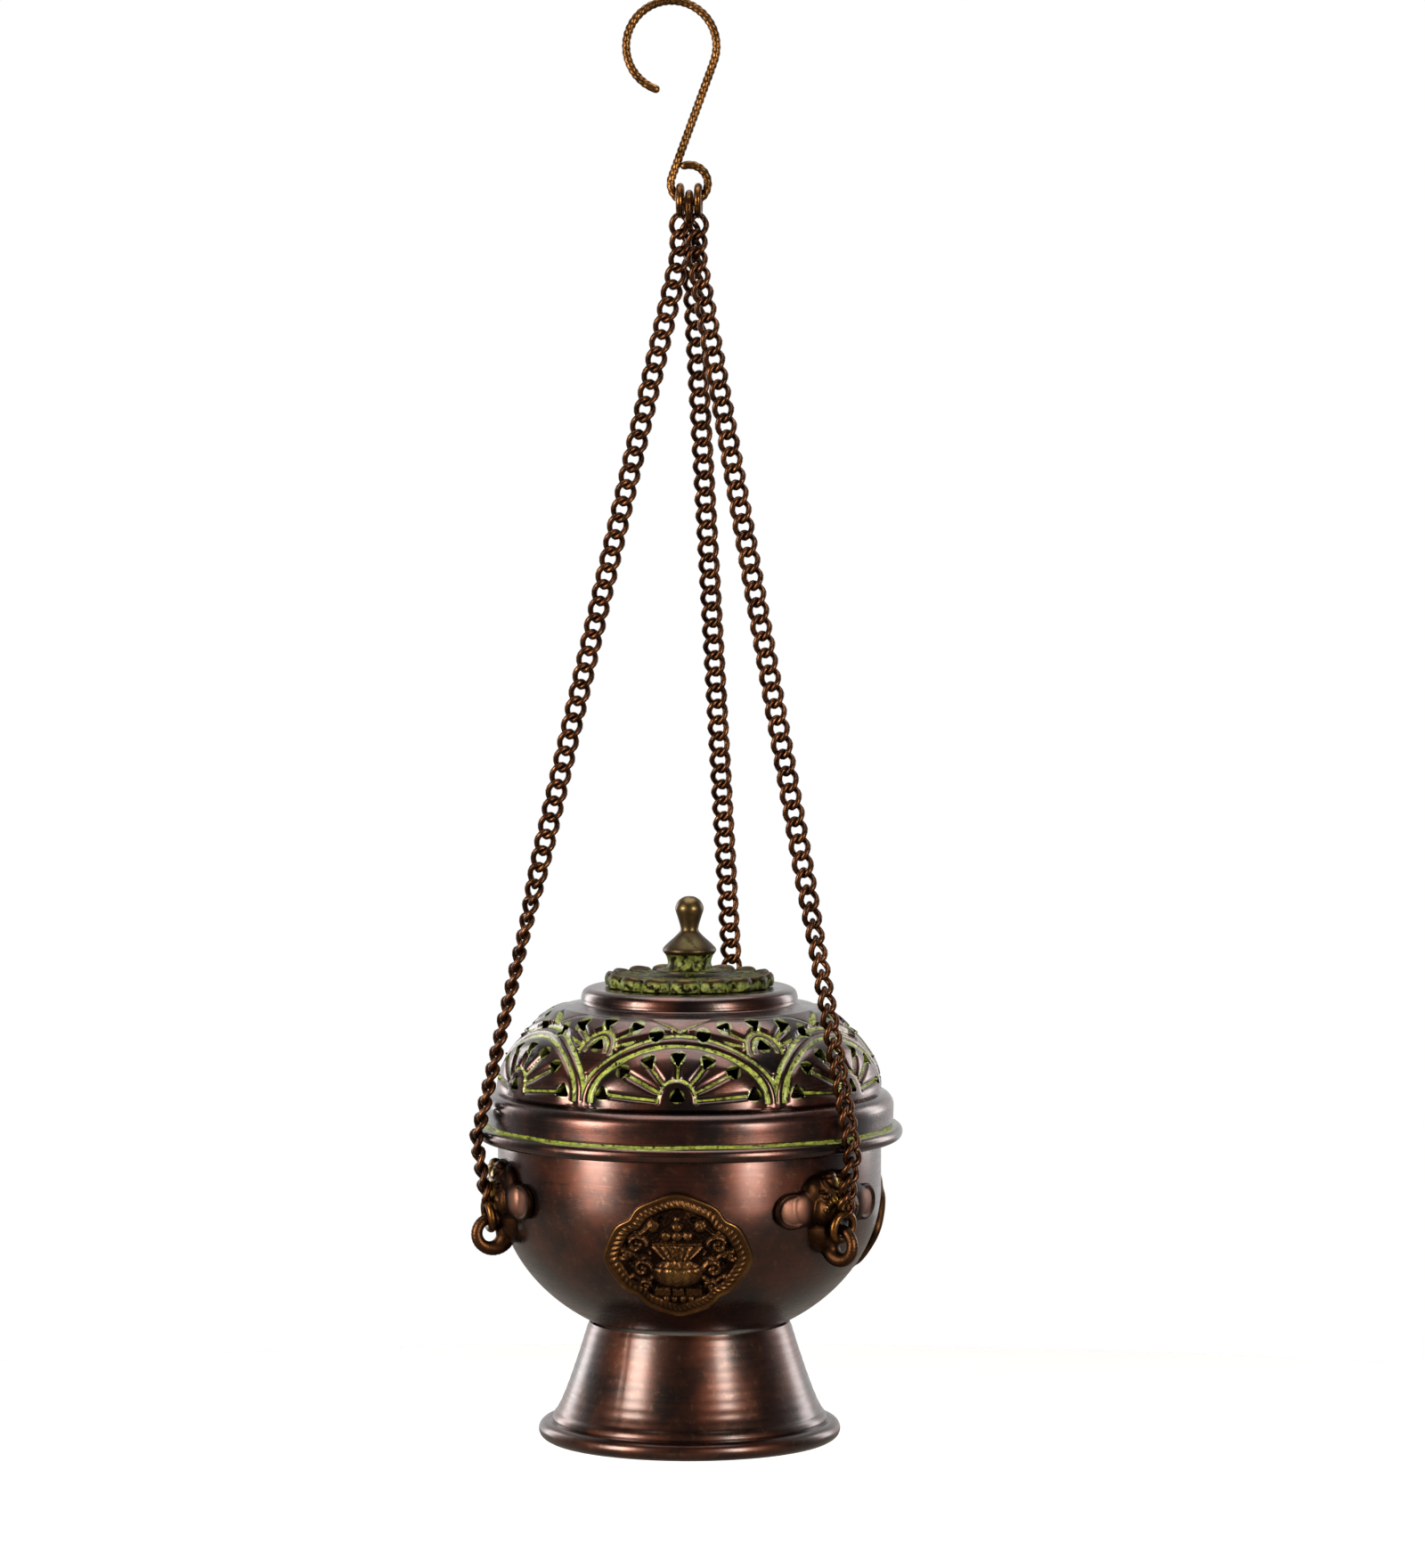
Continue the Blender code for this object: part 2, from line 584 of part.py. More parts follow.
def lug_mesh(builder):
    """Head, ears, trunk and ring joined into one casting, hollowed at the back to sit on the bowl."""
    pieces = [ellipsoid("head", (BOWL_R - 0.4, 0.0, LUG_HEAD_Z), LUG_HEAD)]
    pieces.append(ellipsoid("muzzle", (BOWL_R - 1.6, 0.0, BOWL_WIDEST_Z - 5.0), LUG_MUZZLE))
    for side in (-1.0, 1.0):
        turn = Matrix.Rotation(math.radians(side * LUG_EAR_AZ), 4, "Z")
        pieces.append(ellipsoid("ear", (BOWL_R + 0.4, 0.0, LUG_EAR_Z), LUG_EAR, turn))
    pieces.append(ring_mesh("trunk_ring", (LUG_RING_R, 0.0, LUG_RING_Z), (0, 1, 0), LUG_RING_MID, LUG_STOCK))
    brow = Matrix.Translation((BOWL_R - 1.4, 0.0, LUG_RING_Z + 4.9))
    taper = primitive_mesh("trunk_root", brow, lambda bm: bmesh.ops.create_cone(
        bm, cap_ends=True, segments=12, radius1=LUG_STOCK + 0.9, radius2=3.7, depth=9.4))
    pieces.append(taper)
    solids = []
    for number, mesh in enumerate(pieces):
        obj = bpy.data.objects.new("lug_piece_%d" % number, mesh)
        builder.cutters.objects.link(obj)
        solids.append(obj)
    base = solids[0]
    for other in solids[1:]:
        modifier = base.modifiers.new("join", "BOOLEAN")
        modifier.operation = "UNION"
        modifier.solver = "EXACT"
        modifier.object = other
    cutters = []
    clearance = bpy.data.objects.new("bowl_clearance", profile_mesh("bowl_clearance", clearance_profile()))
    builder.cutters.objects.link(clearance)
    turn_profile(clearance, 60)
    cutters.append(clearance)
    start, end = rivet_line(90.0, LUG_HEAD_Z, 0.0, -2.0, LUG_RIVET_REACH + GAP)
    pocket = bpy.data.objects.new("rivet_pocket", rod_mesh("rivet_pocket", start, end, RIVET_R + GAP, 10))
    builder.cutters.objects.link(pocket)
    cutters.append(pocket)
    for cutter in cutters:
        cut(base, cutter)
    mesh = solid_from(base)
    for obj in solids + cutters:
        bpy.data.objects.remove(obj)
    return mesh


def clearance_profile():
    """The bowl's outside grown by the gap, as a solid to cut with, from the top down."""
    points = [(0.0, BOWL_RIM_Z + 5.0), (BOWL_R + GAP, BOWL_RIM_Z + 5.0)]
    for i in range(13):
        t = math.pi / 2 * i / 12
        points.append(((BOWL_R + GAP) * math.cos(t), BOWL_WIDEST_Z - (BOWL_DEPTH + GAP) * math.sin(t)))
    points[-1] = (0.0, points[-1][1])
    return points


def make_lugs(builder):
    shared = lug_mesh(builder)
    for name, azimuth in CHAIN_AZ.items():
        lug = builder.add_piece("lug_" + name, shared.copy(), "vessel", BRASS, outward_turn(azimuth))
        shade(lug, 50.0)
        rivet = rivet_solid("lug_rivet_" + name, azimuth, LUG_HEAD_Z, 0.0, LUG_RIVET_REACH)
        builder.add_piece("lug_rivet_" + name, rivet, "vessel", BRASS)


def medallion_outline(angle):
    """Half sizes blended round an ogee outline with a point at each end of both axes."""
    notch = math.exp(-(math.cos(2 * angle) / 0.3) ** 2)
    point = math.exp(-(math.sin(2 * angle) / 0.45) ** 2)
    lobes = 0.935 - 0.07 * notch + 0.065 * point
    return (MEDALLION_HALF_WIDTH * lobes * math.cos(angle), MEDALLION_HALF_HEIGHT * lobes * math.sin(angle))


def medallion_mesh(azimuth):
    """A square grid drawn out to the outline and laid on the bowl's side, to be thickened outwards."""
    bm = bmesh.new()
    bmesh.ops.create_grid(bm, x_segments=12, y_segments=12, size=1.0)
    middle = math.asin(MEDALLION_DROP / BOWL_DEPTH)
    around = math.degrees(1.0 / bowl_radius(MEDALLION_Z))
    for vert in bm.verts:
        x, y, _ = vert.co
        reach = max(abs(x), abs(y))
        across, up = medallion_outline(math.atan2(y, x))
        point = bowl_side_point(azimuth + around * across * reach,
                                middle - up * reach / BOWL_DEPTH, MEDALLION_STAND_OFF)
        vert.co = place(point)
    mesh = bpy.data.meshes.new("medallion")
    bm.to_mesh(mesh)
    bm.free()
    return mesh


def make_medallions(builder):
    for name, azimuth in MEDALLION_AZ.items():
        plate = builder.add_piece("medallion_" + name, medallion_mesh(azimuth), "vessel", BRASS)
        wall = plate.modifiers.new("thickness", "SOLIDIFY")
        wall.thickness = MEDALLION_THICK * MM
        wall.offset = 1.0
        tilt = rivet_tilt(MEDALLION_Z)
        reach = MEDALLION_STAND_OFF + MEDALLION_RIVET_REACH
        start, end = rivet_line(azimuth, MEDALLION_Z, tilt, -2.0, reach + GAP)
        pocket = rod_mesh("medallion_pocket", start, end, RIVET_R + GAP, 10)
        cut(plate, builder.add_cutter("medallion_pocket_" + name, pocket, "vessel"))
        rivet = rivet_solid("medallion_rivet_" + name, azimuth, MEDALLION_Z, tilt, reach)
        builder.add_piece("medallion_rivet_" + name, rivet, "vessel", BRASS)


# ------------------------------------------------------------------ chains

def chain_geometry():
    """Radius and height of the bend over the bead, and the chain's two leans, in degrees."""
    bead_r = band_radius() + BEAD_PROUD - BEAD_TUBE
    reach = BEAD_TUBE + CHAIN_CORE + GAP + 0.05
    run, drop = bead_r - CHAIN_TOP_R, CHAIN_TOP_Z - BEAD_Z
    lean_in = math.atan2(run, drop) + math.asin(reach / math.hypot(run, drop))
    bend_z = BEAD_Z - 0.4
    bend_r = CHAIN_TOP_R + (CHAIN_TOP_Z - bend_z) * math.tan(lean_in)
    lean_out = math.atan2(bend_r - LUG_RING_R, bend_z - LUG_RING_Z)
    return bend_r, bend_z, lean_in, lean_out


def towards(start, end, distance):
    a, b = Vector(start), Vector(end)
    return tuple(a + (b - a).normalized() * distance)


def make_chain(builder, name):
    """Lug link, three stretches, and the two top links, from the burner up to the hook."""
    azimuth = CHAIN_AZ[name]
    bend_r, bend_z, lean_in, lean_out = chain_geometry()
    ring = radial(azimuth, LUG_RING_R, LUG_RING_Z)
    bend = radial(azimuth, bend_r, bend_z)
    top = radial(azimuth, CHAIN_TOP_R, CHAIN_TOP_Z)
    elbow = towards(bend, top, CHAIN_MID_LENGTH)
    lower, middle, upper = "chain_lower_" + name, "chain_middle_" + name, "chain_upper_" + name
    builder.add_body(lower, ring)
    builder.add_body(middle, bend)
    builder.add_body(upper, top)

    strand = LUG_RING_MID - LUG_STOCK - LUG_LINK_WIRE - GAP
    along = Vector(bend) - Vector(ring)
    link_centre = towards(ring, bend, strand + LUG_LINK_MID)
    outward = Vector(radial(azimuth, 1.0, 0.0))
    across = Vector((0, 0, 1)).cross(outward)
    link = ring_mesh("lug_link", link_centre, along.cross(across), LUG_LINK_MID, LUG_LINK_WIRE)
    builder.add_piece("lug_link_" + name, link, lower, BRASS)
    link_top = strand + 2 * LUG_LINK_MID + LUG_LINK_WIRE + GAP
    pieces = ((lower, towards(ring, bend, link_top), towards(bend, ring, CHAIN_END)),
              (middle, towards(bend, elbow, CHAIN_END), towards(elbow, bend, CHAIN_END)),
              (upper, towards(elbow, top, CHAIN_END), towards(top, elbow, CHAIN_END)))
    for body, start, end in pieces:
        builder.add_piece(body, rod_mesh(body, start, end, CHAIN_CORE), body, CHAIN_COPPER)


def top_link_centre(name):
    """Where a connector hangs in the hook's eye: its upper strand rests inside the eye's curve."""
    x = TOP_LINK_SIDE[name] * (2 * LINK_WIRE + GAP)
    inside = HOOK_EYE["r"] - HOOK_WIRE - LINK_WIRE - GAP
    strand_z = HOOK_EYE["z"] - math.sqrt(inside ** 2 - x ** 2)
    return (HOOK_EYE["x"] + x, 0.0, strand_z - LINK_MID)


def make_top_links(builder):
    """Connectors on the hook, then the first and second link of each chain as short rods."""
    for name in CHAIN_NAMES:
        centre = top_link_centre(name)
        link = ring_mesh("top_link", centre, (1, 0, 0), LINK_MID, LINK_WIRE)
        builder.add_piece("top_link_" + name, link, "top_links", BRASS)
        top = radial(CHAIN_AZ[name], CHAIN_TOP_R, CHAIN_TOP_Z)
        low_z = centre[2] - LINK_MID - LINK_WIRE - GAP
        start = (TOP_LINK_SIDE[name] * (LINK_WIRE + GAP + CHAIN_CORE), 0.6 * top[1], low_z)
        middle = tuple(Vector(start).lerp(Vector(top), 0.5))
        head = rod_mesh("chain_head", start, towards(middle, start, GAP), CHAIN_CORE)
        builder.add_piece("chain_head_" + name, head, "chain_heads", CHAIN_COPPER)
        swivel = rod_mesh("chain_swivel", towards(middle, top, GAP), towards(top, middle, CHAIN_END),
                          CHAIN_CORE)
        builder.add_piece("chain_swivel_" + name, swivel, "chain_swivels", CHAIN_COPPER)


# ------------------------------------------------------------------ hook

def hook_points():
    """Round the big loop, down the straight tangent that crosses over, and round the eye."""
    dx = HOOK_EYE["x"] - HOOK_LOOP["x"]
    dz = HOOK_EYE["z"] - HOOK_LOOP["z"]
    across = math.degrees(math.asin((HOOK_LOOP["r"] + HOOK_EYE["r"]) / math.hypot(dx, dz)))
    leave = math.degrees(math.atan2(dz, dx)) + 90.0 - across
    points = []
    count = round((HOOK_LOOP["tip"] - leave) / HOOK_STEP)
    for px, pz in arc(HOOK_LOOP["x"], HOOK_LOOP["z"], HOOK_LOOP["r"], HOOK_LOOP["tip"], leave, count):
        points.append((px, 0.0, pz))
    arrive = leave + 180.0
    count = round((HOOK_EYE["tip"] + 360.0 - arrive) / (HOOK_STEP * 1.6))
    eye = [(px, 0.0, pz) for px, pz in
           arc(HOOK_EYE["x"], HOOK_EYE["z"], HOOK_EYE["r"], arrive, HOOK_EYE["tip"] + 360.0, count)]
    return points + eye


def make_hook(builder):
    builder.add_piece("s_hook", wire_curve("s_hook", hook_points(), HOOK_WIRE, 3), "hook", BRASS)


def main():
    clear_scene()
    builder = Builder()
    builder.add_body("hook", (0.0, 0.0, BIGHT_Z))
    builder.add_body("top_links", (HOOK_EYE["x"], 0.0, HOOK_EYE["z"]))
    builder.add_body("chain_heads", (0.0, 0.0, top_link_centre("left")[2]))
    builder.add_body("chain_swivels", (0.0, 0.0, CHAIN_TOP_Z))
    builder.add_body("vessel", (0.0, 0.0, 0.0))
    builder.add_body("lid", (0.0, 0.0, BEAD_Z))
    make_hook(builder)
    make_top_links(builder)
    for name in CHAIN_NAMES:
        make_chain(builder, name)
    make_foot(builder)
    make_bowl(builder)
    make_lugs(builder)
    make_medallions(builder)
    make_lid(builder)
    make_rosette(builder)
    make_finial(builder)


main()
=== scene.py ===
import math

import bmesh
import bpy
import numpy as np
from bpy.props import FloatProperty, IntProperty, PointerProperty
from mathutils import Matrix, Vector

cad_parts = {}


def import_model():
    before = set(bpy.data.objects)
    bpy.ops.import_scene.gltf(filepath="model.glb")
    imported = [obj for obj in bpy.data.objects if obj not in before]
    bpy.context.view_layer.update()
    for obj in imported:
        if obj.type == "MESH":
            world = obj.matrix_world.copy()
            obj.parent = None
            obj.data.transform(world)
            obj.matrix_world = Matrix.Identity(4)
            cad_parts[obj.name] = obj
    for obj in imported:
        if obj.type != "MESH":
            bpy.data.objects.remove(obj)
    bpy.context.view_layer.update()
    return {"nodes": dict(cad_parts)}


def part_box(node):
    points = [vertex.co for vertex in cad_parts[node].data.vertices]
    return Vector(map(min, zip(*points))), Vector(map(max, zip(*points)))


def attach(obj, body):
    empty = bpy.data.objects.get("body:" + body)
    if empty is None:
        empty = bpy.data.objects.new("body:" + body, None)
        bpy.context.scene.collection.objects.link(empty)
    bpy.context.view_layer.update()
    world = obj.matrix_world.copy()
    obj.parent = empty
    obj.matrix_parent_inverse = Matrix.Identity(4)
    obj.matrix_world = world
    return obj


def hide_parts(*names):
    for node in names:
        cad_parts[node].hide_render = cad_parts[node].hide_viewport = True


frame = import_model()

bl_info = {
    "name": "Hanging Incense Burner",
    "version": (1, 0, 0),
    "blender": (4, 5, 0),
    "location": "View3D > Sidebar > Burner",
    "description": "Builds the finished surfaces, chains and materials of a hanging incense burner",
    "category": "Add Mesh",
}

MM = 0.001
CHAINS = {"left": -70.0, "right": 50.0, "rear": 170.0}
MEDALLIONS = {"front": 0.0, "right": 120.0, "left": -120.0}
FAN_STEP = 60.0        # degrees between fans of one row

# Places read from the frame, in millimetres; heights count from the foot's underside.
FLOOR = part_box("foot")[0].z


def height(z):
    """Millimetres above the foot's underside of a height in the frame."""
    return (z - FLOOR) / MM


RIM_Z = height(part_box("bowl")[1].z)
BOWL_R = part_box("bowl")[1].x / MM
BOWL_LOW_Z = height(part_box("bowl")[0].z)
BOWL_DEPTH = 38.4
WIDEST_Z = BOWL_LOW_Z + BOWL_DEPTH
LID_SEAT_Z = RIM_Z + 0.3
BEAD_Z = LID_SEAT_Z - 8.1
DOME_Z, DOME_R, DOME_RISE = LID_SEAT_Z + 2.3, 46.5, 27.0
NECK_TOP_Z = height(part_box("rosette")[0].z) - 0.3
ROSETTE_TOP_Z = height(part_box("rosette")[1].z)
ROSETTE_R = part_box("rosette")[1].x / MM
FINIAL_TOP_Z = height(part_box("finial")[1].z)
FOOT_TOP_Z = height(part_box("foot")[1].z)
RING_R, RING_Z = 50.1, WIDEST_Z - 9.8
HOOK_TOP_Z = height(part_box("s_hook")[1].z)
HOOK_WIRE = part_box("s_hook")[1].y / MM
EAR_TURN = 13.8        # degrees round from the lug's middle to the middle of an ear
EYE_R = 4.5
LOOP_R = 10.95
LUG_LINK_LEAN = 9.24   # degrees the connector leans out with the chain
EYE_Z = height(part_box("s_hook")[0].z) + EYE_R + HOOK_WIRE
LOOP_Z = HOOK_TOP_Z - LOOP_R - HOOK_WIRE
LOOP_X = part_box("s_hook")[0].x / MM + LOOP_R + HOOK_WIRE


# ------------------------------------------------------------------ settings

class BurnerSettings(bpy.types.PropertyGroup):
    """Sizes and finish that the operators read."""

    around: IntProperty(name="Steps Around", description="Steps round each turned piece",
                        default=288, min=48, max=720)
    groove_depth: FloatProperty(name="Groove Depth", description="Depth of the engraved lines, in mm",
                                default=0.42, min=0.0, max=0.8)
    hole_side: FloatProperty(name="Hole Side", description="Side of the pierced triangles, in mm",
                             default=4.4, min=1.0, max=6.0)
    link_wire: FloatProperty(name="Link Wire", description="Thickness of the chain's wire, in mm",
                             default=1.45, min=0.5, max=2.0)
    link_pitch: FloatProperty(name="Link Pitch", description="Length of chain taken by each link, in mm",
                              default=4.15, min=2.0, max=8.0)
    patina: FloatProperty(name="Patina", description="How much green paste is left in the recesses",
                          default=1.0, min=0.0, max=1.0, subtype="FACTOR")
    camera_distance: FloatProperty(name="Camera Distance", description="From the burner's axis to the camera",
                                   default=1.5, min=0.3, max=10.0, unit="LENGTH")
    camera_azimuth: FloatProperty(name="Camera Azimuth", description="Round from the front",
                                  default=math.radians(3.6), subtype="ANGLE")


def settings(context):
    """The panel's properties."""
    return context.scene.burner_settings


# ------------------------------------------------------------------ geometry in arrays

def world(points):
    """Points in millimetres above the foot as metres in the frame."""
    out = np.asarray(points, float) * MM
    out[..., 2] += FLOOR
    return out


def polar(azimuth, r, z):
    """Points at azimuths in degrees, 0 at the front and growing to the right."""
    a = np.radians(azimuth)
    return np.stack(np.broadcast_arrays(r * np.sin(a), -r * np.cos(a), z), axis=-1)


def grid_faces(rows, columns, wrap_rows, wrap_columns, first=0):
    """Corner numbers of the quads of a grid, joined up across a seam where it wraps."""
    r = np.arange(rows if wrap_rows else rows - 1)
    c = np.arange(columns if wrap_columns else columns - 1)
    r, c = np.meshgrid(r, c, indexing="ij")
    r1, c1 = (r + 1) % rows, (c + 1) % columns
    quads = np.stack([r * columns + c, r * columns + c1, r1 * columns + c1, r1 * columns + c], axis=-1)
    return quads.reshape(-1, 4) + first


def mesh_object(name, points, faces, smooth_angle=40.0, weld=1e-7):
    """Object from points in millimetres and quads, welded where points coincide, with faces outwards."""
    mesh = bpy.data.meshes.new(name)
    mesh.from_pydata(world(points.reshape(-1, 3)), [], faces)
    bm = bmesh.new()
    bm.from_mesh(mesh)
    bmesh.ops.remove_doubles(bm, verts=bm.verts, dist=weld)
    bmesh.ops.recalc_face_normals(bm, faces=bm.faces)
    bm.to_mesh(mesh)
    bm.free()
    mesh.shade_smooth()
    mesh.set_sharp_from_angle(angle=math.radians(smooth_angle))
    obj = bpy.data.objects.new(name, mesh)
    bpy.context.scene.collection.objects.link(obj)
    return obj


def positions(obj):
    """Vertex positions in millimetres above the foot."""
    co = np.empty(len(obj.data.vertices) * 3)
    obj.data.vertices.foreach_get("co", co)
    co = co.reshape(-1, 3)
    co[:, 2] -= FLOOR
    return co / MM


def normals(obj):
    """Vertex normals of a mesh as an array."""
    out = np.empty(len(obj.data.vertices) * 3)
    obj.data.vertices.foreach_get("normal", out)
    return out.reshape(-1, 3)


def set_positions(obj, points):
    """Write an array of vertex positions into a mesh."""
    obj.data.vertices.foreach_set("co", world(points).ravel())
    obj.data.update()


def turned(points, degrees):
    """Points turned about the burner's axis."""
    c, s = math.cos(math.radians(degrees)), math.sin(math.radians(degrees))
    x, y, z = points[..., 0], points[..., 1], points[..., 2]
    return np.stack([x * c - y * s, x * s + y * c, z], axis=-1)


def add_mask(obj, name, values):
    """Store one number at each vertex for the materials to read."""
    layer = obj.data.attributes.new(name, "FLOAT", "POINT")
    layer.data.foreach_set("value", np.asarray(values, np.float32))


def arc(cx, cz, radius, start, end, count):
    """Points of a profile on a circular arc, angles in degrees from outwards towards upwards."""
    a = np.radians(np.linspace(start, end, count))
    return np.stack([cx + radius * np.cos(a), cz + radius * np.sin(a)], axis=1)


def smooth_line(points, per):
    """Catmull-Rom curve through points, each span cut into a number of steps."""
    p = np.asarray(points, float)
    p = np.vstack([2 * p[0] - p[1], p, 2 * p[-1] - p[-2]])
    t = np.linspace(0.0, 1.0, per, endpoint=False)[None, :, None]
    a, b, c, d = (p[i:len(p) - 3 + i, None, :] for i in range(4))
    spans = 0.5 * (2 * b + (c - a) * t + (2 * a - 5 * b + 4 * c - d) * t ** 2
                   + (3 * b - a - 3 * c + d) * t ** 3)
    return np.vstack([spans.reshape(-1, p.shape[1]), p[-2]])


def revolve(name, profile, around, closed, smooth_angle=40.0):
    """Turn a profile of radii and heights about the axis. A closed section wraps on itself."""
    azimuths = np.linspace(0.0, 360.0, around, endpoint=False)
    r, z = profile[None, :, 0], profile[None, :, 1]
    points = polar(azimuths[:, None], r, z)
    faces = grid_faces(around, len(profile), True, closed)
    return mesh_object(name, points, faces, smooth_angle)


def tube_frames(line):
    """Unit tangents and two normals along a line of points, carried along it without twist."""
    tangent = np.gradient(line, axis=0)
    tangent /= np.linalg.norm(tangent, axis=1)[:, None]
    side = np.empty_like(tangent)
    start = np.cross(tangent[0], [0.0, 1.0, 0.0])
    if np.linalg.norm(start) < 0.1:
        start = np.cross(tangent[0], [1.0, 0.0, 0.0])
    side[0] = start / np.linalg.norm(start)
    for i in range(1, len(line)):
        v = side[i - 1] - tangent[i] * np.dot(side[i - 1], tangent[i])
        side[i] = v / np.linalg.norm(v)
    return tangent, side, np.cross(tangent, side)


def tube_points(line, radius, across, closed=False, ends=True):
    """Rings of points about a line. The radius may change along it; open ends are rounded off."""
    radius = np.broadcast_to(radius, len(line)).astype(float)
    tangent, side, up = tube_frames(line)
    if ends and not closed:
        caps = np.radians([0.0, 35.0, 65.0, 90.0])
        first = line[0] - tangent[0] * (radius[0] * np.sin(caps[::-1]))[:, None]
        last = line[-1] + tangent[-1] * (radius[-1] * np.sin(caps))[:, None]
        line = np.vstack([first[:-1], line, last[1:]])
        radius = np.concatenate([radius[0] * np.cos(caps[::-1])[:-1], radius, radius[-1] * np.cos(caps)[1:]])
        side = np.vstack([np.repeat(side[:1], 3, 0), side, np.repeat(side[-1:], 3, 0)])
        up = np.vstack([np.repeat(up[:1], 3, 0), up, np.repeat(up[-1:], 3, 0)])
    a = np.linspace(0.0, 2 * np.pi, across, endpoint=False)[None, :, None]
    return line[:, None] + radius[:, None, None] * (np.cos(a) * side[:, None] + np.sin(a) * up[:, None])


def join_grids(name, grids, smooth_angle=60.0):
    """One mesh from several grids of points, each given with whether its rows and columns wrap."""
    points, faces, first = [], [], 0
    for grid, wrap_rows, wrap_columns in grids:
        rows, columns = grid.shape[:2]
        points.append(grid.reshape(-1, 3))
        faces.append(grid_faces(rows, columns, wrap_rows, wrap_columns, first))
        first += rows * columns
    return mesh_object(name, np.vstack(points), np.vstack(faces), smooth_angle)


def finish_piece(obj, material, body, slot, *nodes):
    """Give a piece its material and say which body, slot and CAD pieces it stands for."""
    obj.data.materials.clear()
    obj.data.materials.append(material)
    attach(obj, body)
    if nodes:
        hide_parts(*nodes)
    return obj


# ------------------------------------------------------------------ materials

def linear(code):
    """Linear colour from an sRGB hex code."""
    out = []
    for i in (1, 3, 5):
        v = int(code[i:i + 2], 16) / 255.0
        out.append(v / 12.92 if v <= 0.04045 else ((v + 0.055) / 1.055) ** 2.4)
    return (*out, 1.0)


class Nodes:
    """Short calls for building one material's node tree."""

    def __init__(self, name):
        found = bpy.data.materials.get(name)
        if found:
            bpy.data.materials.remove(found)
        self.material = bpy.data.materials.new(name)
        self.material.use_nodes = True
        self.tree = self.material.node_tree
        self.shader = self.tree.nodes["Principled BSDF"]
        self.shader.inputs["Metallic"].default_value = 1.0
        self.place = self.add("ShaderNodeTexCoord").outputs["Object"]

    def add(self, kind, **inputs):
        """New node, with each value set as a property or fed to the input of that name."""
        node = self.tree.nodes.new(kind)
        for key, value in inputs.items():
            if hasattr(node, key):
                setattr(node, key, value)
                continue
            self.feed(node.inputs[key.replace("_", " ")], value)
        return node

    def feed(self, socket, value):
        """Link an output to an input, or set the input's value."""
        if isinstance(value, bpy.types.NodeSocket):
            self.tree.links.new(value, socket)
        else:
            socket.default_value = value

    def math(self, operation, a, b=0.0, clamp=False):
        """One math node's result."""
        node = self.add("ShaderNodeMath", operation=operation, use_clamp=clamp)
        self.feed(node.inputs[0], a)
        self.feed(node.inputs[1], b)
        return node.outputs[0]

    def mask(self, name):
        """A named value stored on the mesh."""
        return self.add("ShaderNodeAttribute", attribute_name=name).outputs["Fac"]

    def stretched(self, sx, sy, sz):
        """Coordinates scaled on each axis."""
        node = self.add("ShaderNodeMapping", Vector=self.place)
        node.inputs["Scale"].default_value = (sx, sy, sz)
        return node.outputs[0]

    def noise(self, size_mm, detail=4.0, rough=0.55, vector=None):
        """Noise whose features are about this many millimetres across."""
        node = self.add("ShaderNodeTexNoise", Vector=vector or self.place, Scale=1000.0 / size_mm,
                        Detail=detail, Roughness=rough)
        return node.outputs["Fac"]

    def ramp(self, value, low, high, start=0.0, end=1.0):
        """Straight-line change of a value between two levels, clamped beyond them."""
        node = self.add("ShaderNodeMapRange", Value=value)
        for key, number in (("From Min", low), ("From Max", high), ("To Min", start), ("To Max", end)):
            node.inputs[key].default_value = number
        return node.outputs[0]

    def mix(self, share, a, b, blend="MIX"):
        """Two colours blended by a share."""
        node = self.add("ShaderNodeMix", data_type="RGBA", blend_type=blend)
        self.feed(node.inputs[0], share)
        self.feed(node.inputs[6], linear(a) if isinstance(a, str) else a)
        self.feed(node.inputs[7], linear(b) if isinstance(b, str) else b)
        return node.outputs[2]

    def bump(self, value, depth_mm, strength=1.0, after=None):
        """Normal raised by a value, a depth in millimetres, on top of another normal."""
        node = self.add("ShaderNodeBump", Height=value, Strength=strength, Distance=depth_mm * MM)
        if after is not None:
            self.feed(node.inputs["Normal"], after)
        return node.outputs[0]

    def out(self, colour, roughness, normal=None, metallic=None):
        """Feed the shader and return the finished material."""
        self.feed(self.shader.inputs["Base Color"], colour)
        self.feed(self.shader.inputs["Roughness"], roughness)
        if normal is not None:
            self.feed(self.shader.inputs["Normal"], normal)
        if metallic is not None:
            self.feed(self.shader.inputs["Metallic"], metallic)
        return self.material


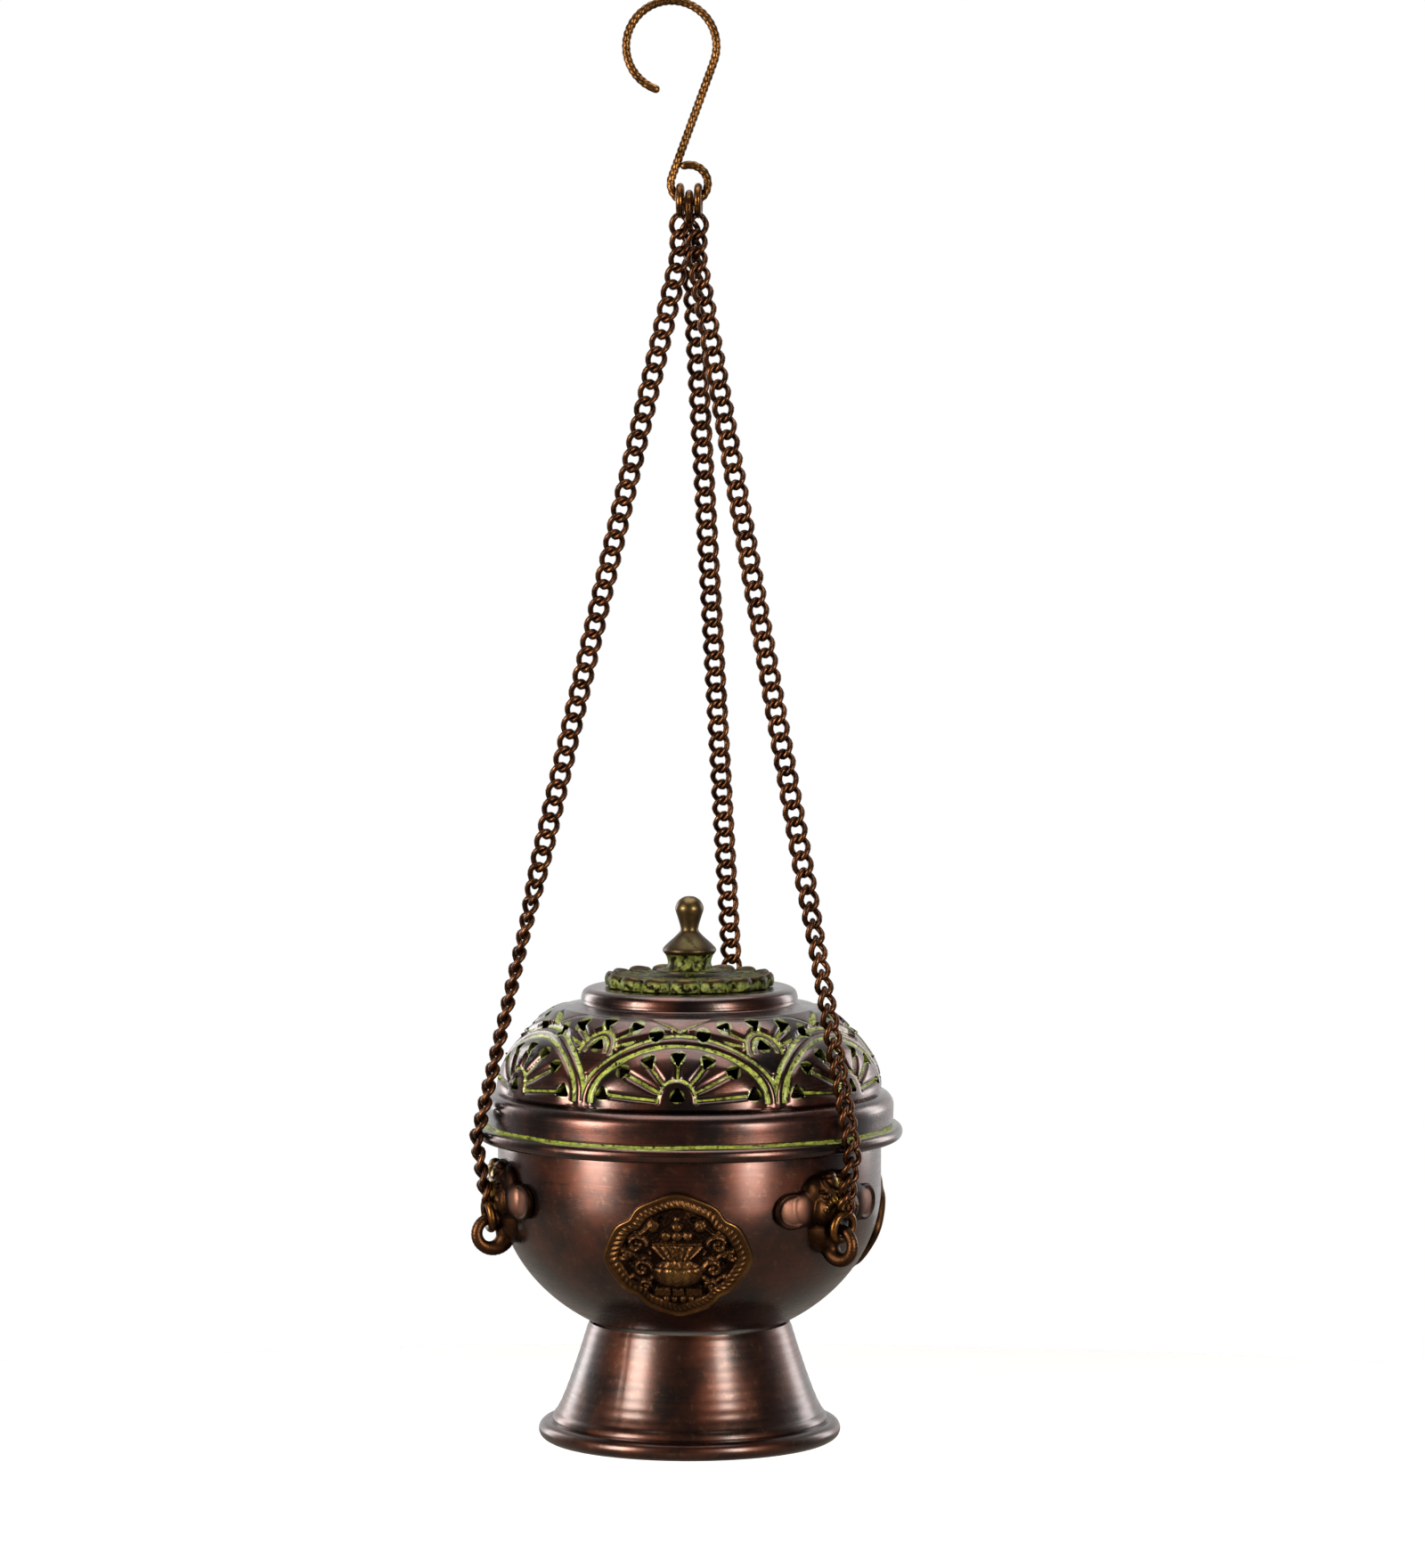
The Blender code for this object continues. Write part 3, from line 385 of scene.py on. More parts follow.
def brushed_copper(name, dark, warm, pale, rough, patina, groove=True):
    """Copper darkened almost to black-brown, rubbed back in places, with fine marks from turning."""
    n = Nodes(name)
    cloud = n.noise(14.0, 5.0, 0.6)
    fleck = n.noise(2.2, 6.0, 0.65)
    turned = n.noise(3.0, 4.0, 0.7, n.stretched(0.12, 0.12, 5.0))
    base = n.mix(n.ramp(cloud, 0.35, 0.65), dark, warm)
    base = n.mix(n.ramp(fleck, 0.56, 0.78, 0.0, 0.55), base, pale)
    base = n.mix(n.ramp(turned, 0.35, 0.7, 0.0, 0.4), base, dark)
    roughness = n.math("ADD", n.ramp(cloud, 0.3, 0.7, rough - 0.06, rough + 0.08),
                       n.ramp(turned, 0.3, 0.7, -0.06, 0.08))
    metallic = 1.0
    normal = n.bump(turned, 0.03, 0.5, n.bump(fleck, 0.05, 0.35))
    if groove:
        grain = n.noise(0.9, 5.0, 0.7)
        share = n.math("MULTIPLY", n.ramp(n.mask("patina"), 0.35, 0.62), n.ramp(grain, 0.36, 0.5))
        share = n.math("MULTIPLY", share, patina, clamp=True)
        # Painted shade: along the engraved lines, in the neck's crease and round the rims and walls of the
        # pierced holes, the copper is darkened towards near black in a band a little wider than the green
        # paste.
        recess_shade = n.ramp(n.mask("patina"), 0.12, 0.42, 0.0, 0.75)
        base = n.mix(recess_shade, base, "#1c0d08")
        green = n.mix(n.ramp(n.noise(1.6), 0.35, 0.7), "#626b20", "#9ba53c")
        base = n.mix(share, base, green)
        roughness = n.math("MAXIMUM", roughness, n.math("MULTIPLY", share, 0.85))
        metallic = n.math("SUBTRACT", 1.0, share, clamp=True)
        normal = n.bump(grain, 0.06, 0.5, normal)
    n.shader.inputs["Coat Weight"].default_value = 0.6
    n.shader.inputs["Coat Roughness"].default_value = 0.24
    n.shader.inputs["Coat IOR"].default_value = 1.6
    return n.out(base, roughness, normal, metallic)


def antique_brass(name, deep, body, rubbed, rough=0.36, green=0.0, blush=False):
    """Brass browned all over and rubbed golden where it stands proud."""
    n = Nodes(name)
    cloud = n.noise(6.0, 5.0, 0.6)
    grain = n.noise(0.8, 5.0, 0.7)
    wear = n.math("ADD", n.mask("wear"), n.ramp(cloud, 0.3, 0.7, -0.22, 0.22))
    base = n.mix(n.ramp(wear, 0.15, 0.5), deep, body)
    base = n.mix(n.ramp(wear, 0.6, 1.0), base, rubbed)
    base = n.mix(n.ramp(grain, 0.5, 0.75, 0.0, 0.35), base, deep)
    roughness = n.ramp(wear, 0.0, 1.0, rough + 0.22, rough - 0.06)
    metallic = 1.0
    if blush:
        base = n.mix(n.math("MULTIPLY", n.mask("blush"), 0.85), base, n.mix(cloud, "#5a3628", "#a07564"))
    if green:
        share = n.math("MULTIPLY", n.ramp(wear, 0.55, 0.12), n.ramp(n.noise(1.5), 0.42, 0.56))
        share = n.math("MULTIPLY", share, green, clamp=True)
        base = n.mix(share, base, n.mix(n.ramp(grain, 0.35, 0.7), "#4c5519", "#8c9638"))
        roughness = n.math("MAXIMUM", roughness, n.math("MULTIPLY", share, 0.85))
        metallic = n.math("SUBTRACT", 1.0, share, clamp=True)
    return n.out(base, roughness, n.bump(grain, 0.05, 0.5, n.bump(cloud, 0.1, 0.3)), metallic)


def wire_metal(name, dark, body, pale, rough=0.36):
    """Drawn wire, browned, with rubbed streaks."""
    n = Nodes(name)
    cloud = n.noise(5.0, 4.0, 0.6)
    grain = n.noise(0.9, 5.0, 0.7)
    base = n.mix(n.ramp(cloud, 0.35, 0.65), dark, body)
    base = n.mix(n.ramp(grain, 0.5, 0.72, 0.0, 0.6), base, pale)
    return n.out(base, n.ramp(grain, 0.3, 0.7, rough + 0.1, rough - 0.05), n.bump(grain, 0.05, 0.45))


def plain_brass(name):
    """Bright turned brass of small fasteners, dulled by smoke."""
    n = Nodes(name)
    cloud = n.noise(3.0, 4.0, 0.6)
    ring = n.noise(0.7, 3.0, 0.6)
    base = n.mix(n.ramp(cloud, 0.35, 0.65), "#5c4223", "#a07a3e")
    return n.out(base, n.ramp(cloud, 0.3, 0.7, 0.32, 0.5), n.bump(ring, 0.03, 0.4))


def pale_paper(name):
    """Matt off-white of a studio sweep, faintly mottled, and greyer where the metal mirrors it."""
    n = Nodes(name)
    n.shader.inputs["Metallic"].default_value = 0.0
    base = n.mix(n.ramp(n.noise(120.0, 2.0), 0.3, 0.7), "#f6f5f3", "#fbfaf8")
    mirrored = n.add("ShaderNodeLightPath").outputs["Is Glossy Ray"]
    n.feed(n.shader.inputs["Base Color"], n.mix(mirrored, base, "#77726b"))
    n.shader.inputs["Roughness"].default_value = 0.9
    return n.material


def bowl_copper():
    """Dark copper of the bowl."""
    return brushed_copper("patinated copper", "#220f08", "#5a2b18", "#7d5d45", 0.29, 0.0, groove=False)


def lid_copper(amount):
    """Dark copper of the lid."""
    return brushed_copper("engraved copper with green paste", "#200d07", "#592917", "#7d5a42", 0.25, amount)


def foot_copper():
    """Dark copper of the foot."""
    return brushed_copper("spun copper", "#23110a", "#542a18", "#785a42", 0.34, 0.0, groove=False)


# ------------------------------------------------------------------ turned pieces

def bowl_profile():
    """Inside wall up to the rim and outside wall down, both ending on the axis."""
    t = np.radians(np.linspace(90.0, 0.0, 40))
    wall = 1.2

    def side(shrink):
        r = (BOWL_R - shrink) * np.cos(t)
        r[0] = 0.0
        return np.stack([r, WIDEST_Z - (BOWL_DEPTH - shrink) * np.sin(t)], axis=1)

    rim = arc(BOWL_R - wall / 2, RIM_Z - wall / 2, wall / 2, 180.0, 0.0, 9)
    return np.vstack([side(wall), rim, side(0.0)[::-1]])


def foot_profile():
    """Closed section of the flared stand with its rolled bead, with a fine step where it meets the bead."""
    outer = smooth_line([(24.55, FOOT_TOP_Z - 0.35), (25.2, 26.9), (26.6, 22.4), (28.4, 17.0), (30.2, 12.0),
                         (31.6, 8.7), (32.5, 7.0), (33.3, 5.9), (33.7, 5.0)], 7)
    crease = np.array([(33.6, 4.35)])
    bead = arc(34.8, 2.2, 2.2, 112.0, -75.0, 30)
    under = np.array([(35.4, 0.02), (34.2, 0.02)])
    inner_bead = arc(34.8, 2.2, 2.2, -105.0, -175.0, 8)
    inner = smooth_line([(32.4, 4.4), (30.6, 7.0), (29.6, 9.4), (27.8, 13.7), (26.3, 18.8), (24.9, 24.0),
                         (24.0, 27.3), (23.7, FOOT_TOP_Z - 0.9)], 5)
    return np.vstack([outer, crease, bead, under, inner_bead, inner])


def lid_profile():
    """Closed section of the lid: neck, dome, shoulder, band, green groove, bead, and back up inside."""
    band, bead_r, tube = 49.9, 50.4, 1.75
    hole = 1.8
    top = NECK_TOP_Z
    neck = smooth_line([(23.2, top), (24.6, top - 0.15), (25.9, top - 0.9), (26.45, top - 2.3),
                        (26.5, top - 3.3), (27.0, top - 3.9), (28.4, top - 4.3), (30.6, top - 4.75)], 5)
    flat = np.array([(hole, top), (8.0, top), (14.0, top), (19.0, top)])
    angle = np.linspace(math.acos(30.6 / DOME_R), 0.0, 95)[1:]
    dome = np.stack([DOME_R * np.cos(angle), DOME_Z + DOME_RISE * np.sin(angle)], axis=1)
    shoulder = smooth_line([(46.62, DOME_Z - 0.25), (47.0, DOME_Z - 0.55), (47.6, DOME_Z - 0.75),
                            (48.5, DOME_Z - 1.2), (49.3, DOME_Z - 2.0), (49.85, DOME_Z - 3.1),
                            (49.95, DOME_Z - 4.2), (49.9, DOME_Z - 6.0), (band - 0.05, BEAD_Z + 2.35)], 5)
    groove = np.array([(band - 0.35, BEAD_Z + 2.05), (band - 0.4, BEAD_Z + 1.75),
                       (band + 0.1, BEAD_Z + 1.65)])
    bead = arc(bead_r, BEAD_Z, tube, 62.0, -140.0, 30)
    inner = np.array([(48.9, BEAD_Z - 0.6), (48.9, BEAD_Z + 3.0), (48.9, LID_SEAT_Z - 0.9),
                      (48.2, LID_SEAT_Z), (46.2, LID_SEAT_Z), (45.5, LID_SEAT_Z + 0.2)])
    back = angle[::-4]
    inside = np.stack([45.5 * np.cos(back), DOME_Z + 26.0 * np.sin(back)], axis=1)
    under = np.array([(27.6, top - 5.0), (25.6, top - 3.4), (25.2, top - 1.9), (23.8, top - 1.0),
                      (14.0, top - 1.0), (hole, top - 1.0)])
    return np.vstack([flat, neck, dome, shoulder, groove, bead, inner, inside, under])


def finial_profile():
    """Round knob on a slim neck above a wide spool and a small spread foot."""
    top = FINIAL_TOP_Z
    points = [(0.0, 0.0), (1.3, -0.18), (2.6, -1.05), (3.35, -2.3), (3.45, -3.3), (3.0, -4.8), (2.45, -6.6),
              (2.2, -7.8), (2.35, -8.6), (3.2, -9.6), (4.4, -10.7), (5.6, -11.8), (6.4, -12.7),
              (6.55, -13.3), (6.2, -13.9), (5.8, -14.4), (5.45, -15.3), (5.3, -16.1), (5.5, -17.0),
              (6.2, -17.7), (7.4, -18.0)]
    line = smooth_line(points, 6)
    line[:, 1] += top
    line[0, 0] = 0.0
    base = ROSETTE_TOP_Z + 0.05
    foot = np.array([(8.0, base + 0.35), (8.0, base), (1.5, base), (1.5, 105.0), (0.0, 105.0)])
    keep = line[:, 1] > base + 0.3
    return np.vstack([line[keep], foot])


# ------------------------------------------------------------------ engraved and pierced pattern

LOWER_BASE = DOME_Z + 1.9
UPPER_BASE = DOME_Z + 12.9
LOWER_RAYS = (-82.0, -48.0, -24.0, 0.0, 24.0, 48.0, 82.0)
UPPER_RAYS = (-52.0, -28.0, 0.0, 28.0, 52.0)


def dome_radius(z):
    """Radius of the plain dome at a height."""
    rise = np.clip((z - DOME_Z) / DOME_RISE, -1.0, 1.0)
    return DOME_R * np.sqrt(1.0 - rise ** 2)


def hole_places():
    """Azimuth, height and turn in the surface of every pierced triangle."""
    rows = ((0.0, LOWER_BASE, 23.2, 9.9, LOWER_RAYS), (0.5, UPPER_BASE, 27.0, 5.6, UPPER_RAYS))
    for shift, base, half, rise, rays in rows:
        for index in range(6):
            centre = FAN_STEP * (index + shift)
            yield centre, base + 1.3, 180.0
            for ray in rays:
                a = math.radians(ray)
                spin = 180.0 if abs(ray) > 60.0 else 180.0 - ray if abs(ray) > 30.0 else -ray
                yield centre + half * math.sin(a), base + rise * math.cos(a), spin


def hole_cutter(side):
    """One mesh of three-sided prisms through the dome, with slightly rounded corners."""
    corners = np.radians([90.0, 210.0, 330.0])
    radius = side / math.sqrt(3.0)
    fillet = 0.22 * radius
    centres = (radius - 2 * fillet) * np.stack([np.cos(corners), np.sin(corners)], axis=1)
    turn = np.radians([-60.0, -20.0, 20.0, 60.0])
    outline = np.vstack([c + fillet * np.stack([np.cos(a + turn), np.sin(a + turn)], axis=1)
                         for c, a in zip(centres, corners)])
    outline[:, 1] *= -1.0
    grids = []
    for azimuth, z, spin in hole_places():
        r = dome_radius(z)
        slope = math.atan2((z - DOME_Z) / DOME_RISE ** 2, r / DOME_R ** 2)
        a, s = math.radians(azimuth), math.radians(spin)
        out = np.array([math.sin(a), -math.cos(a), 0.0])
        across = np.array([math.cos(a), math.sin(a), 0.0])
        normal = out * math.cos(slope) + np.array([0, 0, math.sin(slope)])
        up = np.array([0, 0, math.cos(slope)]) - out * math.sin(slope)
        x = outline[:, 0] * math.cos(s) - outline[:, 1] * math.sin(s)
        y = outline[:, 0] * math.sin(s) + outline[:, 1] * math.cos(s)
        middle = out * r + np.array([0, 0, z])
        flat = middle + x[:, None] * across + y[:, None] * up
        levels = [flat - 3.0 * normal, flat + 3.0 * normal]
        ends = [np.repeat(level.mean(0)[None], len(flat), 0) for level in levels]
        grids.append((np.stack([ends[0], levels[0], levels[1], ends[1]]), False, True))
    return join_grids("hole_cutter", grids)


def line_mask(distance, width):
    """One on a line, falling smoothly to nothing with distance from it."""
    return np.exp(-(distance / width) ** 2)


def wrap(azimuth, step, shift=0.0):
    """Degrees from the nearest fan's middle."""
    return (azimuth - shift + step / 2) % step - step / 2


def fan_lines(azimuth, z, base, shift, half, rise, rays, disc):
    """Distance in millimetres to the nearest ray of a fan, and distances to its half-disc's edge."""
    du = wrap(azimuth, FAN_STEP, shift)
    x = np.radians(du) * dome_radius(z)
    y = z - base
    nearest = np.full(x.shape, 99.0)
    scale_x = np.radians(half) * dome_radius(base + rise * 0.5)
    for ray in rays:
        a = math.radians(ray)
        end = np.array([scale_x * math.sin(a), rise * math.cos(a)])
        length = np.hypot(*end)
        along = (x * end[0] + y * end[1]) / length
        off = np.abs(x * end[1] - y * end[0]) / length
        off = np.where((along > disc * 0.95) & (along < length - 1.3), off, 99.0)
        nearest = np.minimum(nearest, off)
    around_disc = np.abs(np.hypot(x / (disc * 0.94), y / disc) - 1.0) * disc
    around_disc = np.where(y > -0.3, around_disc, 99.0)
    return du, x, y, nearest, around_disc


def lid_pattern(azimuth, z):
    """Groove strength and petal swell over the dome, from arched borders, rays and the Vs between."""
    wobble = (0.28 * np.sin(np.radians(azimuth * 7.0 + 40.0))
              + 0.2 * np.sin(np.radians(azimuth * 17.0) + z * 0.7))
    du, x, y, rays, disc = fan_lines(azimuth + wobble * 0.5, z, LOWER_BASE, 0.0, 23.2, 9.9, LOWER_RAYS, 5.0)
    inner = np.hypot(du / 27.2, y / 12.7)
    outer = np.hypot(du / 30.6, y / 14.8)
    inner_line = np.where(y > -0.8, np.abs(inner - 1.0) * 12.7, 99.0)
    outer_line = np.where(y > -0.8, np.abs(outer - 1.0) * 14.8, 99.0)
    inside = inner < 1.0
    groove = np.maximum.reduce([line_mask(inner_line + wobble * 0.3, 0.42), line_mask(outer_line, 0.42),
                                np.where(inside, line_mask(rays + wobble * 0.2, 0.36), 0.0),
                                line_mask(disc, 0.36)])
    swell = np.where(inside, np.clip(rays / 1.6, 0.0, 1.0) * np.clip((1.0 - inner) * 4.0, 0.0, 1.0), 0.0)
    ridge = np.clip(1.0 - np.abs((inner - 1.0) / (14.8 / 12.7 - 1.0) - 0.5) * 1.6, 0.0, 1.0)

    du, x, y, rays, disc = fan_lines(azimuth, z, UPPER_BASE, 30.0, 27.0, 5.6, UPPER_RAYS, 3.1)
    above = (outer > 1.05) & (z > DOME_Z + 5.0)
    arch = np.hypot(du / 36.0, y / 7.9)
    arch_line = np.where(y > 1.0, np.abs(arch - 1.0) * 7.9, 99.0)
    hood = np.abs(np.hypot(x / 4.6, (y + 0.2) / 4.4) - 1.0) * 4.4
    hood = np.where(y > -1.5, hood, 99.0)
    upper = np.maximum.reduce([line_mask(arch_line, 0.36), line_mask(hood, 0.34), line_mask(disc, 0.3),
                               line_mask(np.where(np.hypot(x, y) > 4.6, rays, 99.0), 0.34)])
    upper_swell = np.clip(rays / 1.5, 0.0, 1.0) * (arch < 1.0) * (np.hypot(x, y) > 4.8)
    top = DOME_Z + 20.0
    fade = np.clip((top - z) / 1.2, 0.0, 1.0)
    groove = np.maximum(groove, np.where(above, upper, 0.0) * fade)
    swell = np.maximum(swell, np.where(above, upper_swell, 0.0) * fade)
    on_dome = (z > DOME_Z + 0.1) & (z < top + 0.8)
    ridge = ridge * (inner > 1.0) * (outer < 1.0)
    return groove * on_dome, (0.8 * np.sin(swell * np.pi / 2) + 0.4 * ridge) * on_dome


def hole_nearness(azimuth, z):
    """1 at the edge of a pierced hole, falling to 0 about a millimetre away."""
    r = dome_radius(z)
    out = np.zeros(len(z))
    for hole_azimuth, hole_z, _ in hole_places():
        dx = np.radians((azimuth - hole_azimuth + 180.0) % 360.0 - 180.0) * r
        dy = (z - hole_z) * 1.15
        out = np.maximum(out, np.clip(1.0 - (np.hypot(dx, dy) - 1.7) / 0.9, 0.0, 1.0))
    return out


def build_lid(context):
    """Turn the lid, pierce it, then press the pattern into its outside."""
    options = settings(context)
    around = options.around * 2 + 24
    lid = revolve("lid_skin", lid_profile(), around, True)
    cutter = hole_cutter(options.hole_side)
    pierce = lid.modifiers.new("pierce", "BOOLEAN")
    pierce.operation = "DIFFERENCE"
    pierce.solver = "EXACT"
    pierce.object = cutter
    context.view_layer.update()
    pierced = bpy.data.meshes.new_from_object(lid.evaluated_get(context.evaluated_depsgraph_get()))
    lid.modifiers.clear()
    lid.data = pierced
    bpy.data.objects.remove(cutter)
    points = positions(lid)
    azimuth = np.degrees(np.arctan2(points[:, 0], -points[:, 1]))
    radius, z = np.hypot(points[:, 0], points[:, 1]), points[:, 2]
    outside = radius > dome_radius(z) - 0.25
    groove, swell = lid_pattern(azimuth, z)
    direction = np.stack([points[:, 0] / DOME_R ** 2, points[:, 1] / DOME_R ** 2,
                          (z - DOME_Z) / DOME_RISE ** 2], axis=1)
    direction /= np.linalg.norm(direction, axis=1)[:, None] + 1e-12
    on_dome = outside & (z > DOME_Z) & (z < NECK_TOP_Z - 4.5)
    push = np.where(on_dome, swell - options.groove_depth * groove, 0.0)
    set_positions(lid, points + direction * push[:, None])
    near = np.where((z > DOME_Z) & (z < DOME_Z + 20.3), hole_nearness(azimuth, z), 0.0)
    line_z = (BEAD_Z + 1.9 + 0.12 * np.sin(np.radians(azimuth * 5.0))
              + 0.08 * np.sin(np.radians(azimuth * 13.0)))
    band = np.exp(-((z - line_z) / 0.42) ** 2) * (radius > 48.95)
    neck = 0.45 * np.exp(-((z - (NECK_TOP_Z - 4.6)) / 0.5) ** 2) * (radius > 26.0)
    # The patina mask marks the engraved lines, the green line on the band, the neck's crease and the rims of
    # the pierced holes. The lid's material lays green paste in it and paints shade along it.
    patina = np.where(outside | (radius > 48.95), np.maximum.reduce([groove * on_dome, band, neck]), 0.0)
    patina = np.maximum(patina, 0.5 * near * (radius > dome_radius(z) - 1.3))
    add_mask(lid, "patina", patina)
    add_mask(lid, "wear", np.clip(swell, 0.0, 1.0))
    lid.data.shade_smooth()
    lid.data.set_sharp_from_angle(angle=math.radians(50.0))
    finish_piece(lid, lid_copper(options.patina), "lid", "copper", "lid")


# ------------------------------------------------------------------ rosette

def build_rosette(context):
    """A cast flower: lobed petals with raised rims round a sunk ring, and a bored middle."""
    petals = 16
    azimuth = np.linspace(0.0, 360.0, 768, endpoint=False)[:, None]
    share = np.linspace(0.0, 1.0, 90)[None, :]
    a = np.radians(azimuth * petals)
    lobe = np.abs(np.cos(a / 2.0))
    edge = ROSETTE_R - 0.1 - 1.5 * (1.0 - lobe) ** 1.4
    r = 1.9 + (edge - 1.9) * share
    out = np.clip((r - 9.0) / (edge - 9.0), 0.0, 1.0)
    border = np.exp(-((0.94 - out) / 0.1) ** 2) * (0.45 + 0.55 * lobe)
    vein = np.exp(-(np.abs(np.cos(a / 2.0)) / 0.16) ** 2)
    ribs = 0.5 + 0.5 * np.cos(a * 3.0)
    top = ROSETTE_TOP_Z - 1.25 + 1.15 * border - 0.9 * vein * out ** 0.5 + 0.28 * ribs * out * (out < 0.85)
    top += 0.55 * np.exp(-((r - 9.3) / 0.8) ** 2)
    top = top - 0.35 * np.clip((share - 0.965) / 0.035, 0.0, 1.0)
    low = NECK_TOP_Z + 0.06
    height_share = np.linspace(0.0, 1.0, 8)[None, 1:]
    side_z = top[:, -1:] + (low + 0.3 - top[:, -1:]) * height_share
    side_r = edge + 0.25 * np.sin(np.pi * height_share) + 0 * side_z
    base_r = np.array([19.0, 1.9])[None, :] + 0 * edge
    radius = np.hstack([r, side_r, base_r])
    z = np.hstack([top, side_z, np.full((len(azimuth), 2), low)])
    points = polar(azimuth + 0 * radius, radius, z)
    faces = grid_faces(len(azimuth), radius.shape[1], True, True)
    rosette = mesh_object("rosette_flower", points, faces, 55.0)
    placed = positions(rosette)
    add_mask(rosette, "wear", np.clip((placed[:, 2] - (ROSETTE_TOP_Z - 1.7)) / 1.6, 0.0, 1.0))
    finish_piece(rosette, antique_brass("verdigris bronze", "#1c150c", "#372b19", "#59492d", 0.42, 0.75),
                 "lid", "green_bronze", "rosette")


# ------------------------------------------------------------------ medallions

def outline_size(angle):
    """Half-width and half-height factor of the ogee outline."""
    notch = np.exp(-(np.cos(2 * angle) / 0.3) ** 2)
    point = np.exp(-(np.sin(2 * angle) / 0.45) ** 2)
    return 0.935 - 0.07 * notch + 0.065 * point


def spiral_ridge(x, y, cx, cy, size, hand):
    """Height of a scroll: a ridge that winds in about one and a half turns."""
    dx, dy = (x - cx) * hand, y - cy
    r, angle = np.hypot(dx, dy), np.arctan2(dy, dx)
    winding = size * (0.25 + 0.75 * ((angle + np.pi) / (2 * np.pi)))
    first = np.exp(-((r - winding) / 0.55) ** 2)
    second = np.exp(-((r - winding + 0.62 * size) / 0.45) ** 2)
    return np.where(r < size * 1.25, np.maximum(first, second), 0.0)


def medallion_relief(x, y, from_edge):
    """Height over the plate in millimetres: rolled rim, corded band, vase, scrolls and base."""
    angle = np.arctan2(y, x)
    rim = 0.55 * np.exp(-((from_edge - 0.7) / 0.62) ** 2)
    cord = (0.42 * np.exp(-((from_edge - 2.5) / 0.75) ** 2)
            * (0.55 + 0.45 * np.cos(angle * 64.0 + from_edge * 2.2)))
    field = -0.5 * np.clip((from_edge - 3.4) / 0.5, 0.0, 1.0)
    def dome(cx, cy, rx, ry, high):
        return high * np.sqrt(np.clip(1.0 - ((x - cx) / rx) ** 2 - ((y - cy) / ry) ** 2, 0.0, 1.0))

    body = dome(0.0, -3.5, 6.1, 3.7, 1.3)
    body = body - 0.3 * np.exp(-((y + 2.0) / 0.3) ** 2) * (body > 0.2) + 0.1 * np.cos(x * 3.1) * (body > 0.5)
    flare = 2.7 + 0.95 * (y - 0.2)
    neck = (y > 0.2) * (y < 3.7) * (np.abs(x) < flare) * (0.75 + 0.22 * np.cos(np.arctan2(x, y + 3.2) * 26.0))
    lip = 0.95 * np.exp(-((y - 4.1) / 0.4) ** 2) * (np.abs(x) < 5.6)
    jewels = [dome(cx * 2.5, 5.9, 1.25, 1.2, 0.9) for cx in (-1.0, 0.0, 1.0)]
    jewels += [dome(0.0, 8.0, 1.3, 1.1, 0.9), dome(0.0, 9.9, 0.8, 0.8, 0.7)]
    jewels += [dome(hand * 5.3, 8.3, 1.5, 1.7, 0.8) for hand in (-1.0, 1.0)]
    jewels += [dome(cx, -11.0, 0.85, 0.9, 0.7) for cx in (-3.3, -1.1, 1.1, 3.3)]
    blocks = 0.7 * ((np.abs(y + 8.4) < 0.95) & (np.abs(x) < 6.0) & (np.abs(np.abs(x) - 1.7) > 0.28))
    scrolls = np.zeros_like(x)
    for hand in (-1.0, 1.0):
        for cx, cy, size in ((9.3, 3.6, 2.4), (8.4, -2.4, 2.3), (12.6, 0.8, 1.7), (8.3, -7.0, 1.8)):
            scrolls = np.maximum(scrolls, 0.8 * spiral_ridge(x, y, cx * hand, cy, size, hand))
    side = np.abs(x)
    waves = [np.exp(-((y - level - 0.8 * np.sin(side * 1.2 + level)) / 0.5) ** 2)
             * (side > 5.8) * (side < far)
             for level, far in ((7.0, 11.0), (-5.2, 13.0), (0.9, 14.2))]
    stem = 0.6 * np.maximum.reduce(waves)
    pits = np.zeros_like(x)
    for hand in (-1.0, 1.0):
        for cx, cy in ((6.8, 1.1), (11.4, 3.6), (3.6, 9.7), (7.3, -9.3), (10.9, -0.9), (5.9, -6.5)):
            pits = np.maximum(pits, np.exp(-(np.hypot(x - cx * hand, y - cy) / 0.62) ** 4))
    raised = np.maximum.reduce([body, neck, lip, blocks, scrolls, stem, *jewels])
    raised = raised + 0.09 * np.sin(x * 4.3 + 1.2 * np.sin(y * 1.9)) * np.sin(y * 3.9 + np.sin(x * 2.3))
    inside = from_edge > 3.6
    return rim + cord + field + np.where(inside, raised - 0.8 * pits, 0.0)


def bowl_side(azimuth, t, offset):
    """Points beside the bowl, t radians round its ellipse below its widest circle."""
    low = np.clip(t, 0.0, None)
    r, z = BOWL_R * np.cos(low), WIDEST_Z - BOWL_DEPTH * np.sin(low) + BOWL_DEPTH * np.clip(-t, 0.0, None)
    nr, nz = np.cos(low) / BOWL_R, -np.sin(low) / BOWL_DEPTH
    size = np.hypot(nr, nz)
    return polar(azimuth, r + offset * nr / size, z + offset * nz / size)


